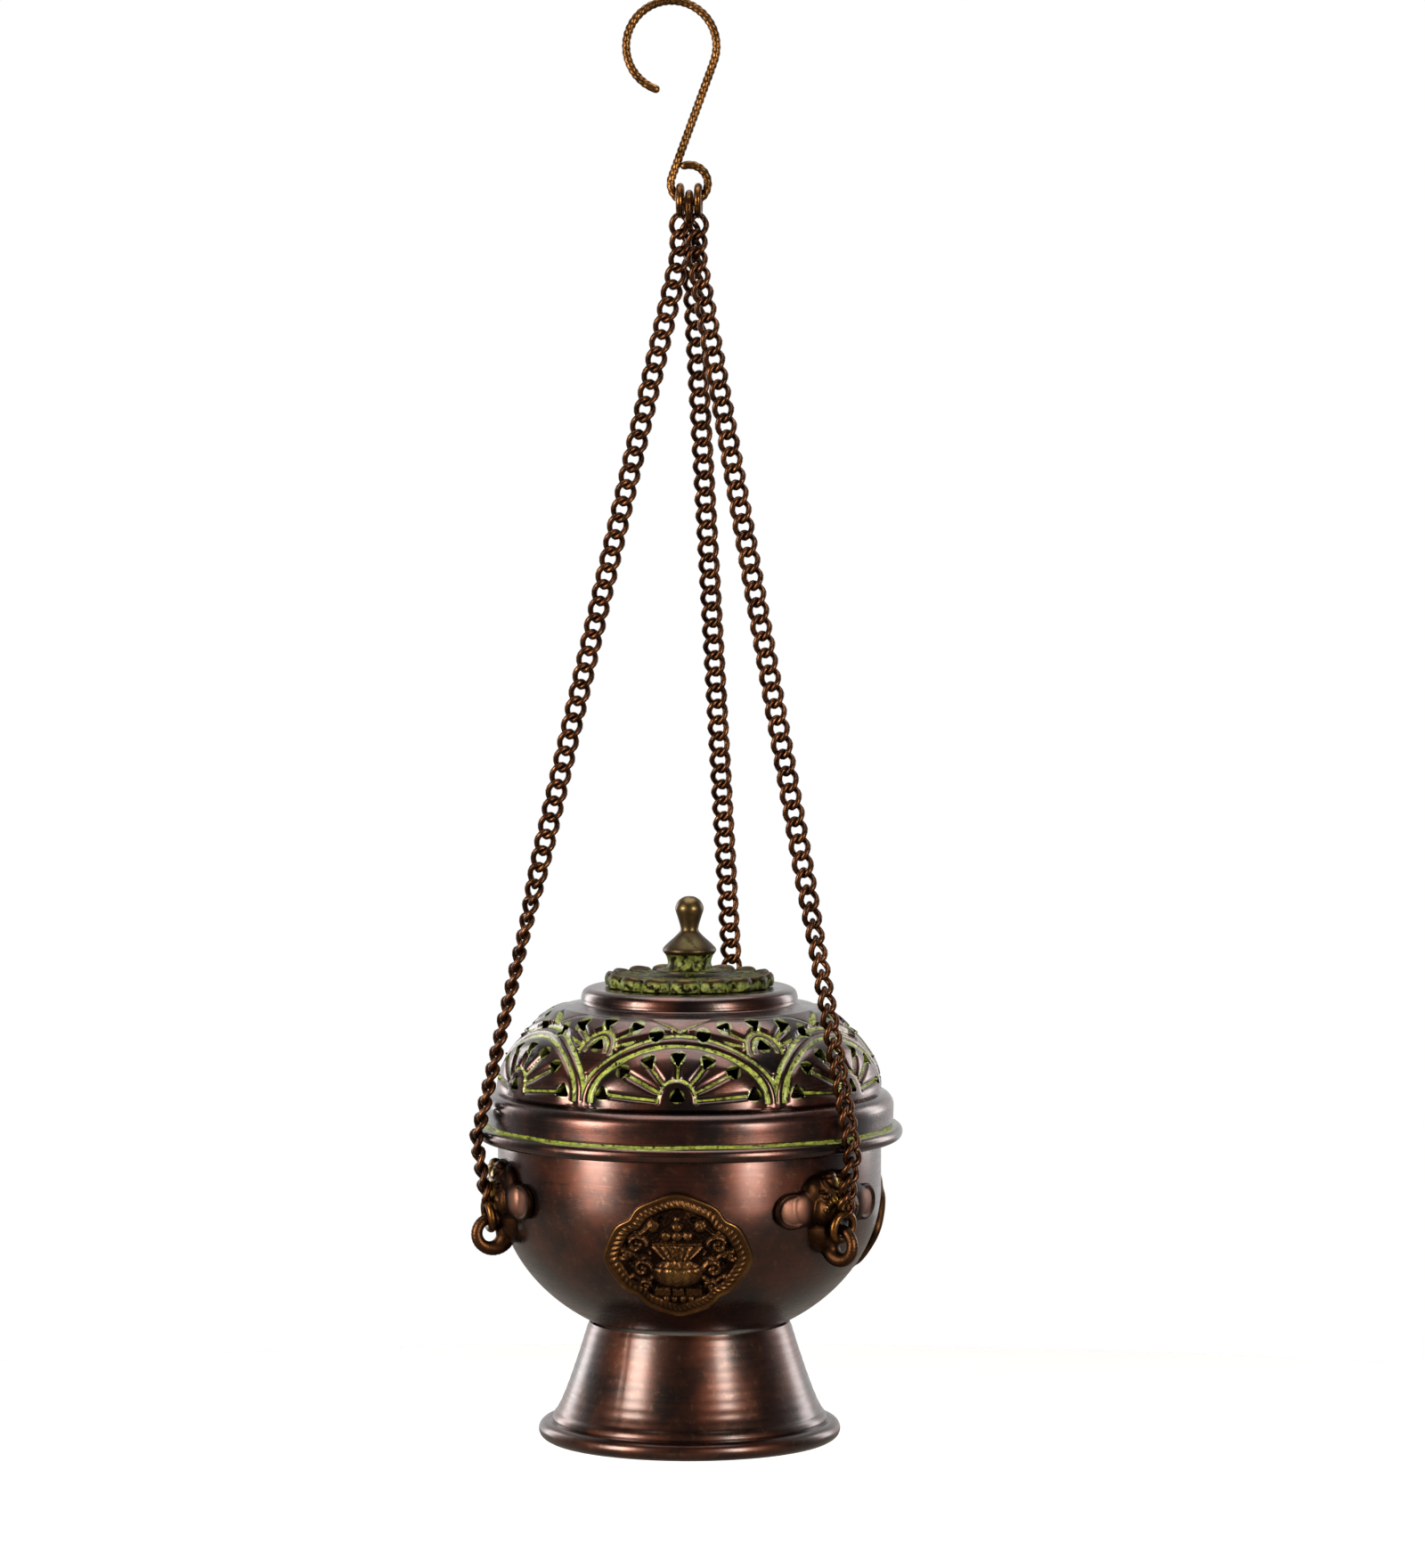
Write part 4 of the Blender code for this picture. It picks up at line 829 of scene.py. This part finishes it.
def build_medallion(name, azimuth):
    """Relief plate on the bowl's side: a square grid drawn out to the outline, front and back."""
    count = 181
    line = np.linspace(-1.0, 1.0, count)
    u, v = np.meshgrid(line, line, indexing="ij")
    reach = np.maximum(np.abs(u), np.abs(v))
    angle = np.arctan2(v, u)
    size = outline_size(angle)
    x, y = 17.8 * size * np.cos(angle) * reach, 16.2 * size * np.sin(angle) * reach
    from_edge = (1.0 - reach) * 16.0
    drop = 11.4
    middle = math.asin(drop / BOWL_DEPTH)
    radius = BOWL_R * math.cos(middle)
    front_height = 1.75 + medallion_relief(x, y, from_edge)
    front_height = np.where(reach > 0.999, 1.35, front_height)
    place_azimuth, t = azimuth + np.degrees(x / radius), middle - y / BOWL_DEPTH
    front = bowl_side(place_azimuth, t, front_height)
    back = bowl_side(place_azimuth, t, 0.35 + 0 * reach)
    ring = np.concatenate([np.stack([np.arange(count - 1), np.zeros(count - 1, int)], 1),
                           np.stack([np.full(count - 1, count - 1), np.arange(count - 1)], 1),
                           np.stack([np.arange(count - 1, 0, -1), np.full(count - 1, count - 1)], 1),
                           np.stack([np.zeros(count - 1, int), np.arange(count - 1, 0, -1)], 1)])
    numbers = ring[:, 0] * count + ring[:, 1]
    after = np.roll(numbers, -1)
    side = np.stack([numbers, after, after + count ** 2, numbers + count ** 2], axis=1)
    sheet = grid_faces(count, count, False, False)
    faces = np.vstack([sheet, sheet[:, ::-1] + count ** 2, side])
    points = np.vstack([front.reshape(-1, 3), back.reshape(-1, 3)])
    plate = mesh_object("medallion_relief_" + name, points, faces, 60.0)
    lift = (1.75 + medallion_relief(x, y, from_edge)).ravel()
    wear = np.concatenate([np.clip((lift - 1.15) / 1.75, 0.0, 1.0), np.zeros(count ** 2)])
    if len(plate.data.vertices) == len(wear):
        add_mask(plate, "wear", wear)
    return plate


def build_medallions(context):
    """Three relief plates riveted around the bowl."""
    metal = antique_brass("antique brass", "#1a0f09", "#553921", "#94703f", 0.3)
    for name, azimuth in MEDALLIONS.items():
        plate = build_medallion(name, azimuth)
        finish_piece(plate, metal, "vessel", "brass", "medallion_" + name)


# ------------------------------------------------------------------ elephant lugs

def ball(centre, half, turn_z=0.0, rows=24, columns=32):
    """Grid of an ellipsoid at azimuth 90, turned about the burner's axis afterwards."""
    t = np.linspace(0.0, np.pi, rows)[:, None]
    a = np.linspace(0.0, 2 * np.pi, columns, endpoint=False)[None, :]
    points = np.stack([half[0] * np.sin(t) * np.cos(a), half[1] * np.sin(t) * np.sin(a),
                       half[2] * np.cos(t) + 0 * a], axis=-1) + np.array(centre)
    return turned(points, turn_z), False, True


def trunk_line():
    """Down from between the eyes, close along the face, then forward round into a ring."""
    lead = [(RING_R - 2.9, 0.0, WIDEST_Z + 3.5), (RING_R - 2.3, 0.0, WIDEST_Z + 1.0),
            (RING_R - 2.9, 0.0, WIDEST_Z - 2.2), (RING_R - 3.55, 0.0, WIDEST_Z - 5.4)]
    a = np.radians(np.arange(165.0, 515.0, 14.0))
    ring = np.stack([RING_R + 3.7 * np.cos(a), 0 * a, RING_Z + 3.7 * np.sin(a)], axis=1)
    return smooth_line(np.vstack([lead, ring]), 5)


def build_lug(name, azimuth):
    """Elephant head fused from ellipsoids and a trunk, then creased and fitted to the bowl."""
    head_z = WIDEST_Z + 2.5
    parts = [ball((BOWL_R - 0.2, 0.0, head_z), (3.6, 8.4, 5.7)),
             ball((BOWL_R - 1.8, 0.0, WIDEST_Z - 4.4), (3.6, 7.2, 8.0))]
    for side in (-1.0, 1.0):
        parts.append(ball((BOWL_R + 1.5, side * 2.6, head_z + 3.0), (2.0, 2.9, 2.7)))
        parts.append(ball((BOWL_R + 1.4, side * 4.9, head_z - 3.6), (1.9, 2.7, 3.6)))
        parts.append(ball((BOWL_R - 0.1, side * 6.6, head_z - 2.9), (1.9, 5.2, 4.7), side * 1.5))
        parts.append(ball((BOWL_R - 0.2, side * 5.0, head_z + 0.8), (2.4, 4.8, 4.2)))
        parts.append(ball((BOWL_R + 0.3, 0.0, WIDEST_Z - 0.9), (1.45, 6.1, 4.5), side * EAR_TURN))
        rim_angle = np.linspace(-2.2, 2.2, 40)
        rim_line = np.stack([BOWL_R + 1.0 + 0 * rim_angle, side * (1.4 + 4.3 * np.cos(rim_angle)),
                             WIDEST_Z - 0.9 + 3.9 * np.sin(rim_angle)], axis=1)
        parts.append((tube_points(turned(rim_line, side * EAR_TURN), 0.62, 10), False, True))
        parts.append(ball((BOWL_R + 3.0, side * 4.7, head_z - 0.2), (0.75, 1.0, 0.8), rows=12, columns=16))
    line = trunk_line()
    along = np.linspace(0.0, 1.0, len(line))
    thick = np.interp(along, [0.0, 0.18, 0.36, 0.5, 1.0], [2.9, 2.6, 1.95, 1.5, 1.2])
    thick = thick + 0.07 * np.sin(along * 230.0) * (along > 0.15)
    parts.append((tube_points(line, thick, 16), False, True))
    lug = join_grids("elephant_lug_" + name, parts)
    fuse = lug.modifiers.new("fuse", "REMESH")
    fuse.mode = "VOXEL"
    fuse.voxel_size = 0.26 * MM
    fuse.use_smooth_shade = True
    soften = lug.modifiers.new("soften", "SMOOTH")
    soften.iterations = 3
    soften.factor = 0.5
    bpy.context.view_layer.update()
    fused = bpy.data.meshes.new_from_object(lug.evaluated_get(bpy.context.evaluated_depsgraph_get()))
    lug.modifiers.clear()
    lug.data = fused
    points, normal = positions(lug), normals(lug)
    x, y, z = points.T
    up = z - head_z
    proud = np.hypot(x, y) - BOWL_R
    face = (proud > 1.2) & (np.abs(y) < 8.5)
    brow = np.exp(-((up - 0.9 - 0.10 * y ** 2 * (np.abs(y) < 5)) / 0.42) ** 2) * (np.abs(y) < 6.5) * face
    band = np.exp(-((up + 1.2 + 0.06 * y ** 2) / 0.75) ** 2) * (np.abs(y) < 6.0) * face
    hatch = np.sign(np.sin(y * 5.5 + up * 3.0)) * 0.12
    leaf = np.exp(-(((np.abs(y) - 5.0) / 1.1) ** 2 + ((up + 4.2) / 1.9) ** 2) ** 2)
    veins = 0.14 * np.cos((up + 4.2 - np.abs(np.abs(y) - 5.0)) * 5.5)
    crown = np.exp(-((up - 4.3) / 0.35) ** 2) * (np.abs(y) < 5.2) * face
    push = -0.28 * brow + band * (0.22 + hatch) + leaf * face * (0.15 + veins) - 0.22 * crown
    points = points + normal * push[:, None]
    r = np.hypot(points[:, 0], points[:, 1])
    low = np.clip((WIDEST_Z - points[:, 2]) / BOWL_DEPTH, 0.0, 1.0)
    seat = BOWL_R * np.sqrt(1.0 - low ** 2) + 0.06
    scale = np.maximum(1.0, seat / np.maximum(r, 1e-6))
    points[:, :2] *= scale[:, None]
    middle = np.exp(-(y / 3.4) ** 2) * (z > WIDEST_Z - 4.0)
    ear = np.exp(-((np.abs(y) - 12.6) / 3.0) ** 4 - ((z - WIDEST_Z + 0.9) / 3.1) ** 4)
    wear = (0.2 + 0.85 * middle) * np.clip((proud - 0.6) / 2.6, 0.0, 1.0) - 0.5 * brow - 0.35 * crown
    wear = wear + 0.8 * push * band + 0.25 * (z < RING_Z + 4.0)
    set_positions(lug, turned(points, azimuth - 90.0))
    add_mask(lug, "wear", np.clip(wear, 0.0, 1.0))
    add_mask(lug, "blush", ear * (proud < 3.0))
    lug.data.shade_smooth()
    return lug


def build_lugs(context):
    """Three elephant-head lugs around the bowl."""
    metal = antique_brass("cast brass", "#1a0e08", "#4c301c", "#b08a3c", 0.32, blush=True)
    for name, azimuth in CHAINS.items():
        lug = build_lug(name, azimuth)
        finish_piece(lug, metal, "vessel", "brass", "lug_" + name)


# ------------------------------------------------------------------ chains

def chain_points(name):
    """The chain's corner points, from the lug link's top up to the bottom of its top connector."""
    azimuth = CHAINS[name]
    reach, run, drop = 3.25, 50.4 - 2.2, height(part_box("chain_upper_" + name)[1].z) + 0.48 - BEAD_Z
    lean = math.atan2(run, drop) + math.asin(reach / math.hypot(run, drop))
    top_z, bend_z = BEAD_Z + drop, BEAD_Z - 0.4
    bend_r = 2.2 + (top_z - bend_z) * math.tan(lean)
    bend = polar(azimuth, bend_r, bend_z)
    ring = polar(azimuth, RING_R, RING_Z)
    top = polar(azimuth, 2.2, top_z)
    elbow = bend + (top - bend) / np.linalg.norm(top - bend) * 60.0
    along = (bend - ring) / np.linalg.norm(bend - ring)
    connector_low, connector_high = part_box("top_link_" + name)
    head = np.array([(connector_low.x + connector_high.x) / 2 / MM * 1.06, 0.35 * top[1],
                     height(connector_low.z) + 0.3])
    start = ring + along * (1.15 + 2 * 3.3 + 0.4)
    return [start, bend, elbow, top, head]


def along_path(corners, distances):
    """Places and directions at distances along a broken line."""
    corners = np.array(corners)
    legs = np.diff(corners, axis=0)
    lengths = np.linalg.norm(legs, axis=1)
    ends = np.concatenate([[0.0], np.cumsum(lengths)])
    d = np.clip(distances, 0.0, ends[-1] - 1e-6)
    leg = np.clip(np.searchsorted(ends, d, side="right") - 1, 0, len(legs) - 1)
    return corners[leg] + legs[leg] / lengths[leg, None] * (d - ends[leg])[:, None], leg, ends


def ring_tube(line, centre, wire, sides):
    """Round wire about a closed line, with a radius that may change along it."""
    closed = np.vstack([line[-2:], line, line[:2]])
    tangent = np.gradient(closed, axis=0)[2:-2]
    tangent /= np.linalg.norm(tangent, axis=1)[:, None]
    outward = line - centre
    outward -= tangent * np.sum(outward * tangent, axis=1)[:, None]
    outward /= np.linalg.norm(outward, axis=1)[:, None]
    up = np.cross(tangent, outward)
    a = np.linspace(0.0, 2 * np.pi, sides, endpoint=False)[None, :, None]
    radius = np.broadcast_to(wire, len(line))[:, None, None]
    return line[:, None] + radius * (np.cos(a) * outward[:, None] + np.sin(a) * up[:, None]), True, True


def curb_link(centre, along, across, wire, length, width):
    """One closed link: an oval of round wire, twisted a quarter turn from end to end."""
    t = np.linspace(0.0, 2 * np.pi, 20, endpoint=False)
    half, wide = (length - wire) / 2, (width - wire) / 2
    x, y = half * np.cos(t), wide * np.sin(t)
    twist = math.radians(50.0) * x / half
    third = np.cross(along, across)
    line = (centre + x[:, None] * along + (y * np.cos(twist))[:, None] * across
            + (y * np.sin(twist))[:, None] * third)
    return ring_tube(line, centre, wire / 2, 8)


def build_chain(name, metal, options):
    """Curb links along the whole chain, joined in one mesh for each stretch that moves by itself."""
    corners = chain_points(name)
    azimuth = CHAINS[name]
    _, _, ends = along_path(corners, np.array([0.0]))
    count = int(round(ends[-1] / options.link_pitch))
    pitch = ends[-1] / count
    distances = (np.arange(count) + 0.5) * pitch
    centres, legs, _ = along_path(corners, distances)
    before, _, _ = along_path(corners, distances - pitch * 0.5)
    after, _, _ = along_path(corners, distances + pitch * 0.5)
    along = after - before
    along /= np.linalg.norm(along, axis=1)[:, None]
    roll_total = -azimuth if abs(azimuth) < 90.0 else 180.0 - azimuth
    groups = {}
    stretch = ("lower", "middle", "upper", "swivel")
    for i in range(count):
        share = np.clip((distances[i] - ends[1] - 48.0) / 30.0, 0.0, 1.0)
        facing = math.radians(azimuth + roll_total * share * share * (3 - 2 * share))
        across = np.array([math.cos(facing), math.sin(facing), 0.0])
        across -= along[i] * np.dot(across, along[i])
        across /= np.linalg.norm(across)
        link = curb_link(centres[i], along[i], across, options.link_wire,
                         pitch + 2 * options.link_wire - 0.1, 5.5)
        part = stretch[legs[i]]
        if part == "swivel" and distances[i] > (ends[3] + ends[4]) / 2:
            part = "head"
        groups.setdefault(part, []).append(link)
    bodies = {"lower": ("lower_chain_" + name, "chain_lower_" + name),
              "middle": ("middle_chain_" + name, "chain_middle_" + name),
              "upper": ("upper_chain_" + name, "chain_upper_" + name),
              "swivel": ("chain_swivels", "chain_swivel_" + name),
              "head": ("chain_heads", "chain_head_" + name)}
    for part, links in groups.items():
        body, node = bodies[part]
        piece = join_grids("chain_links_%s_%s" % (part, name), links, 80.0)
        finish_piece(piece, metal, body, "chain_copper", node)


def build_chains(context):
    """Curb links along every stretch of the three chains."""
    metal = wire_metal("browned chain", "#2b180f", "#54331f", "#8a603e", 0.34)
    for name in CHAINS:
        build_chain(name, metal, settings(context))


def round_ring(name, centre, axis_azimuth, tilt, mid, wire, metal, body, slot, node):
    """A smooth closed ring of round wire standing upright, facing an azimuth, with a soldered joint."""
    t = np.linspace(0.0, 2 * np.pi, 72, endpoint=False)
    line = np.stack([mid * np.cos(t), 0 * t, mid * np.sin(t)], axis=1)
    c, s = math.cos(tilt), math.sin(tilt)
    line = np.stack([line[:, 0], line[:, 1] * c - line[:, 2] * s, line[:, 1] * s + line[:, 2] * c], axis=1)
    line = turned(line, axis_azimuth) + centre
    joint = 1.0 + 0.06 * np.exp(-((t - 1.1) / 0.05) ** 2)
    ring = join_grids(name, [ring_tube(line, centre, wire * joint, 14)], 80.0)
    finish_piece(ring, metal, body, slot, node)


def box_centre(low, high):
    """Middle of a box in the frame, in millimetres above the foot."""
    middle = (low + high) / 2
    return np.array([middle.x / MM, middle.y / MM, height(middle.z)])


def build_connectors(context):
    """Rings from the hook to the chains and from the chains to the lugs."""
    metal = wire_metal("connector brass", "#38210f", "#684422", "#a5743c", 0.33)
    for name, azimuth in CHAINS.items():
        low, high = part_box("top_link_" + name)
        centre = box_centre(low, high)
        wire = (high.x - low.x) / 2 / MM
        mid = (high.z - low.z) / 2 / MM - wire
        round_ring("top_connector_" + name, centre, 90.0, 0.0, mid, wire, metal, "top_links", "brass",
                   "top_link_" + name)
        centre = box_centre(*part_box("lug_link_" + name))
        round_ring("lug_connector_" + name, centre, azimuth, math.radians(LUG_LINK_LEAN), 3.3, 1.0, metal,
                   "lower_chain_" + name, "brass", "lug_link_" + name)


# ------------------------------------------------------------------ hook

def hook_line():
    """Round the big loop, down the straight that crosses over, and round the small eye."""
    dx, dz = -LOOP_X, EYE_Z - LOOP_Z
    across = math.degrees(math.asin((LOOP_R + EYE_R) / math.hypot(dx, dz)))
    leave = math.degrees(math.atan2(dz, dx)) + 90.0 - across
    loop = arc(LOOP_X, LOOP_Z, LOOP_R, 250.0, leave, 110)
    eye = arc(0.0, EYE_Z, EYE_R, leave + 180.0, 466.0, 60)
    straight = np.linspace(loop[-1], eye[0], 40)[1:-1]
    line = np.vstack([loop, straight, eye])
    return np.stack([line[:, 0], 0 * line[:, 0], line[:, 1]], axis=1)


def build_hook(context):
    """Bent wire with a fine twist worked into it."""
    coarse = hook_line()
    steps = np.concatenate([[0.0], np.cumsum(np.linalg.norm(np.diff(coarse, axis=0), axis=1))])
    even = np.linspace(0.0, steps[-1], 620)
    line = np.stack([np.interp(even, steps, coarse[:, i]) for i in range(3)], axis=1)
    points = tube_points(line, HOOK_WIRE + 0.05, 24)
    rows = len(points)
    along = np.clip(np.arange(rows) - 3, 0, len(line) - 1)
    distance = even[along][:, None]
    around = np.linspace(0.0, 2 * np.pi, 24, endpoint=False)[None, :]
    fade = np.clip(np.minimum(distance, steps[-1] - distance) / 3.0, 0.0, 1.0)
    notch = 0.07 * np.cos(3 * around + distance * 2 * np.pi / 1.5) * fade
    centre = line[along]
    points = centre[:, None] + (points - centre[:, None]) * (1.0 + notch)[..., None]
    hook = join_grids("twisted_hook", [(points, False, True)], 80.0)
    finish_piece(hook, wire_metal("hook bronze", "#38230f", "#6d4826", "#a87a48", 0.36), "hook",
                 "hook_bronze", "s_hook")


# ------------------------------------------------------------------ other turned pieces

def build_bowl(context):
    """Turned bowl with its lip, worn copper and dark inside."""
    bowl = revolve("bowl_shell", bowl_profile(), settings(context).around, False)
    finish_piece(bowl, bowl_copper(), "vessel", "copper", "bowl")


def build_foot(context):
    """The flared foot, with a soldered upright seam and faint ripples left by spinning."""
    foot = revolve("foot_shell", foot_profile(), settings(context).around, True, 50.0)
    points = positions(foot)
    azimuth = np.degrees(np.arctan2(points[:, 0], -points[:, 1]))
    off_seam = np.radians((azimuth + 31.0 + 0.12 * (points[:, 2] - 15.0) + 180.0) % 360.0 - 180.0) * 28.0
    seam = np.exp(-(off_seam / 0.35) ** 2) * (points[:, 2] > 5.5)
    ripple = 0.03 * np.sin(points[:, 2] * 2.6)
    out = points[:, :2] / np.hypot(points[:, 0], points[:, 1])[:, None]
    points[:, :2] += out * (ripple * (points[:, 2] > 6.5) - 0.05 * seam)[:, None]
    set_positions(foot, points)
    finish_piece(foot, foot_copper(), "vessel", "copper", "foot")


def build_finial(context):
    """Turned knob with its neck and bead."""
    finial = revolve("finial_knob", finial_profile(), 96, False, 45.0)
    points = positions(finial)
    r = np.hypot(points[:, 0], points[:, 1])
    high = points[:, 2] > FINIAL_TOP_Z - 8.0
    disc = points[:, 2] > FINIAL_TOP_Z - 14.0
    add_mask(finial, "wear", np.where(high, 0.75, np.where(disc, 0.55, np.clip((r - 6.4) / 1.4, 0.1, 0.5))))
    finish_piece(finial, antique_brass("finial bronze", "#211d10", "#453826", "#6f5a38", 0.36, 0.8),
                 "lid", "brass", "finial")


def dress_fasteners(context):
    """Rivets, washer and nut keep their shapes and get a dulled brass."""
    metal = plain_brass("smoked brass")
    names = ["finial_washer", "finial_nut"]
    names += ["lug_rivet_" + n for n in CHAINS] + ["medallion_rivet_" + n for n in MEDALLIONS]
    for name in names:
        node = frame["nodes"][name]
        node.data.materials.clear()
        node.data.materials.append(metal)


# ------------------------------------------------------------------ stage

def area_light(name, place, target, size, power, colour=(1.0, 1.0, 1.0)):
    """One rectangular softbox aimed at a point."""
    data = bpy.data.lights.new(name, "AREA")
    data.shape = "RECTANGLE"
    data.size, data.size_y = size
    data.energy = power
    data.color = colour
    lamp = bpy.data.objects.new(name, data)
    lamp.location = place
    lamp.rotation_euler = (Vector(target) - Vector(place)).to_track_quat("-Z", "Y").to_euler()
    bpy.context.scene.collection.objects.link(lamp)
    return lamp


def build_floor():
    """A round sheet of pale paper below the hanging foot."""
    azimuth = np.linspace(0.0, 360.0, 96, endpoint=False)[:, None]
    points = polar(azimuth, np.array([[0.0, 150.0, 400.0, 700.0]]), -90.0)
    floor = mesh_object("paper_floor", points, grid_faces(96, 4, True, False))
    floor.data.materials.append(pale_paper("studio paper"))


def build_stage(context):
    """World, paper floor, softboxes and camera."""
    options = settings(context)
    scene = context.scene
    world_shade = bpy.data.worlds.new("studio")
    world_shade.use_nodes = True
    tree = world_shade.node_tree
    background = tree.nodes["Background"]
    background.inputs["Color"].default_value = (1.0, 1.0, 1.0, 1.0)
    split = tree.nodes.new("ShaderNodeSeparateXYZ")
    tree.links.new(tree.nodes.new("ShaderNodeTexCoord").outputs["Generated"], split.inputs[0])
    fall = tree.nodes.new("ShaderNodeMapRange")
    for key, number in (("From Min", 0.1), ("From Max", 0.9), ("To Min", 0.07), ("To Max", 0.75)):
        fall.inputs[key].default_value = number
    tree.links.new(split.outputs["Y"], fall.inputs["Value"])
    seen = tree.nodes.new("ShaderNodeMath")
    seen.operation = "MAXIMUM"
    tree.links.new(fall.outputs[0], seen.inputs[0])
    tree.links.new(tree.nodes.new("ShaderNodeLightPath").outputs["Is Camera Ray"], seen.inputs[1])
    tree.links.new(seen.outputs[0], background.inputs["Strength"])
    scene.world = world_shade
    scene.view_settings.view_transform = "Standard"
    build_floor()
    middle = (0.0, 0.0, FLOOR + 0.08)
    area_light("left softbox", (-0.8, -0.62, FLOOR + 0.27), middle, (0.32, 0.6), 16.0, (1.0, 0.95, 0.87))
    area_light("right softbox", (0.66, -0.78, FLOOR + 0.27), middle, (0.22, 0.6), 11.0, (1.0, 0.95, 0.87))
    area_light("top", (0.0, 0.1, FLOOR + 1.05), middle, (0.9, 0.9), 10.0)
    for side, name in ((-0.8, "left rear softbox"), (0.8, "right rear softbox")):
        area_light(name, (side, 0.72, FLOOR + 0.27), middle, (0.3, 0.6), 3.0)
    data = bpy.data.cameras.new("camera")
    data.sensor_width = 36.0
    data.lens = 141.6
    data.clip_start, data.clip_end = 0.05, 20.0
    camera = bpy.data.objects.new("camera", data)
    a = options.camera_azimuth
    camera.location = (options.camera_distance * math.sin(a), -options.camera_distance * math.cos(a),
                       FLOOR + 0.2644)
    pitch, yaw = math.radians(3.965), math.radians(0.215)
    camera.rotation_euler = (math.pi / 2 - pitch, 0.0, a - yaw)
    scene.collection.objects.link(camera)
    scene.camera = camera


# ------------------------------------------------------------------ operators and panel

class StepOperator:
    """Shared run for the operators, each of which names its build function."""

    bl_options = {"REGISTER", "UNDO"}

    def execute(self, context):
        self.make(context)
        return {"FINISHED"}


def step_operator(name, make, about):
    """Operator class that runs one build function, with its button's label and hint."""
    fields = {"__doc__": about, "bl_idname": "burner." + name, "bl_label": name.capitalize(),
              "make": staticmethod(make)}
    return type("BURNER_OT_" + name, (StepOperator, bpy.types.Operator), fields)


STEPS = tuple(step_operator(*step) for step in (
    ("lid", build_lid, "Turn, pierce and engrave the domed lid"),
    ("rosette", build_rosette, "Make the cast flower on top of the lid"),
    ("finial", build_finial, "Turn the knob on the rosette"),
    ("bowl", build_bowl, "Turn the bowl"),
    ("foot", build_foot, "Turn the flared foot"),
    ("medallions", build_medallions, "Make the relief plates on the bowl"),
    ("lugs", build_lugs, "Make the elephant-head lugs"),
    ("chains", build_chains, "Make the curb chains"),
    ("connectors", build_connectors, "Make the rings at both ends of the chains"),
    ("hook", build_hook, "Bend the twisted-wire hook"),
    ("fasteners", dress_fasteners, "Give the rivets, washer and nut their finish"),
    ("stage", build_stage, "Set up the paper, lights and camera")))


class BURNER_PT_panel(bpy.types.Panel):
    """Buttons for each step, with the shared sizes above"""
    bl_idname = "BURNER_PT_panel"
    bl_label = "Incense Burner"
    bl_space_type = "VIEW_3D"
    bl_region_type = "UI"
    bl_category = "Burner"

    def draw(self, context):
        layout = self.layout
        for name in BurnerSettings.__annotations__:
            layout.prop(settings(context), name)
        for step in STEPS:
            layout.operator(step.bl_idname)


CLASSES = (BurnerSettings, *STEPS, BURNER_PT_panel)


def register():
    """Add the classes and the scene settings."""
    for item in CLASSES:
        bpy.utils.register_class(item)
    bpy.types.Scene.burner_settings = PointerProperty(type=BurnerSettings)


def unregister():
    """Take the classes and the scene settings away again."""
    del bpy.types.Scene.burner_settings
    for item in reversed(CLASSES):
        bpy.utils.unregister_class(item)


def main():
    """Register, then build every piece in turn."""
    register()
    for step in STEPS:
        group, _, call = step.bl_idname.partition(".")
        getattr(getattr(bpy.ops, group), call)()


if __name__ == "__main__":
    main()
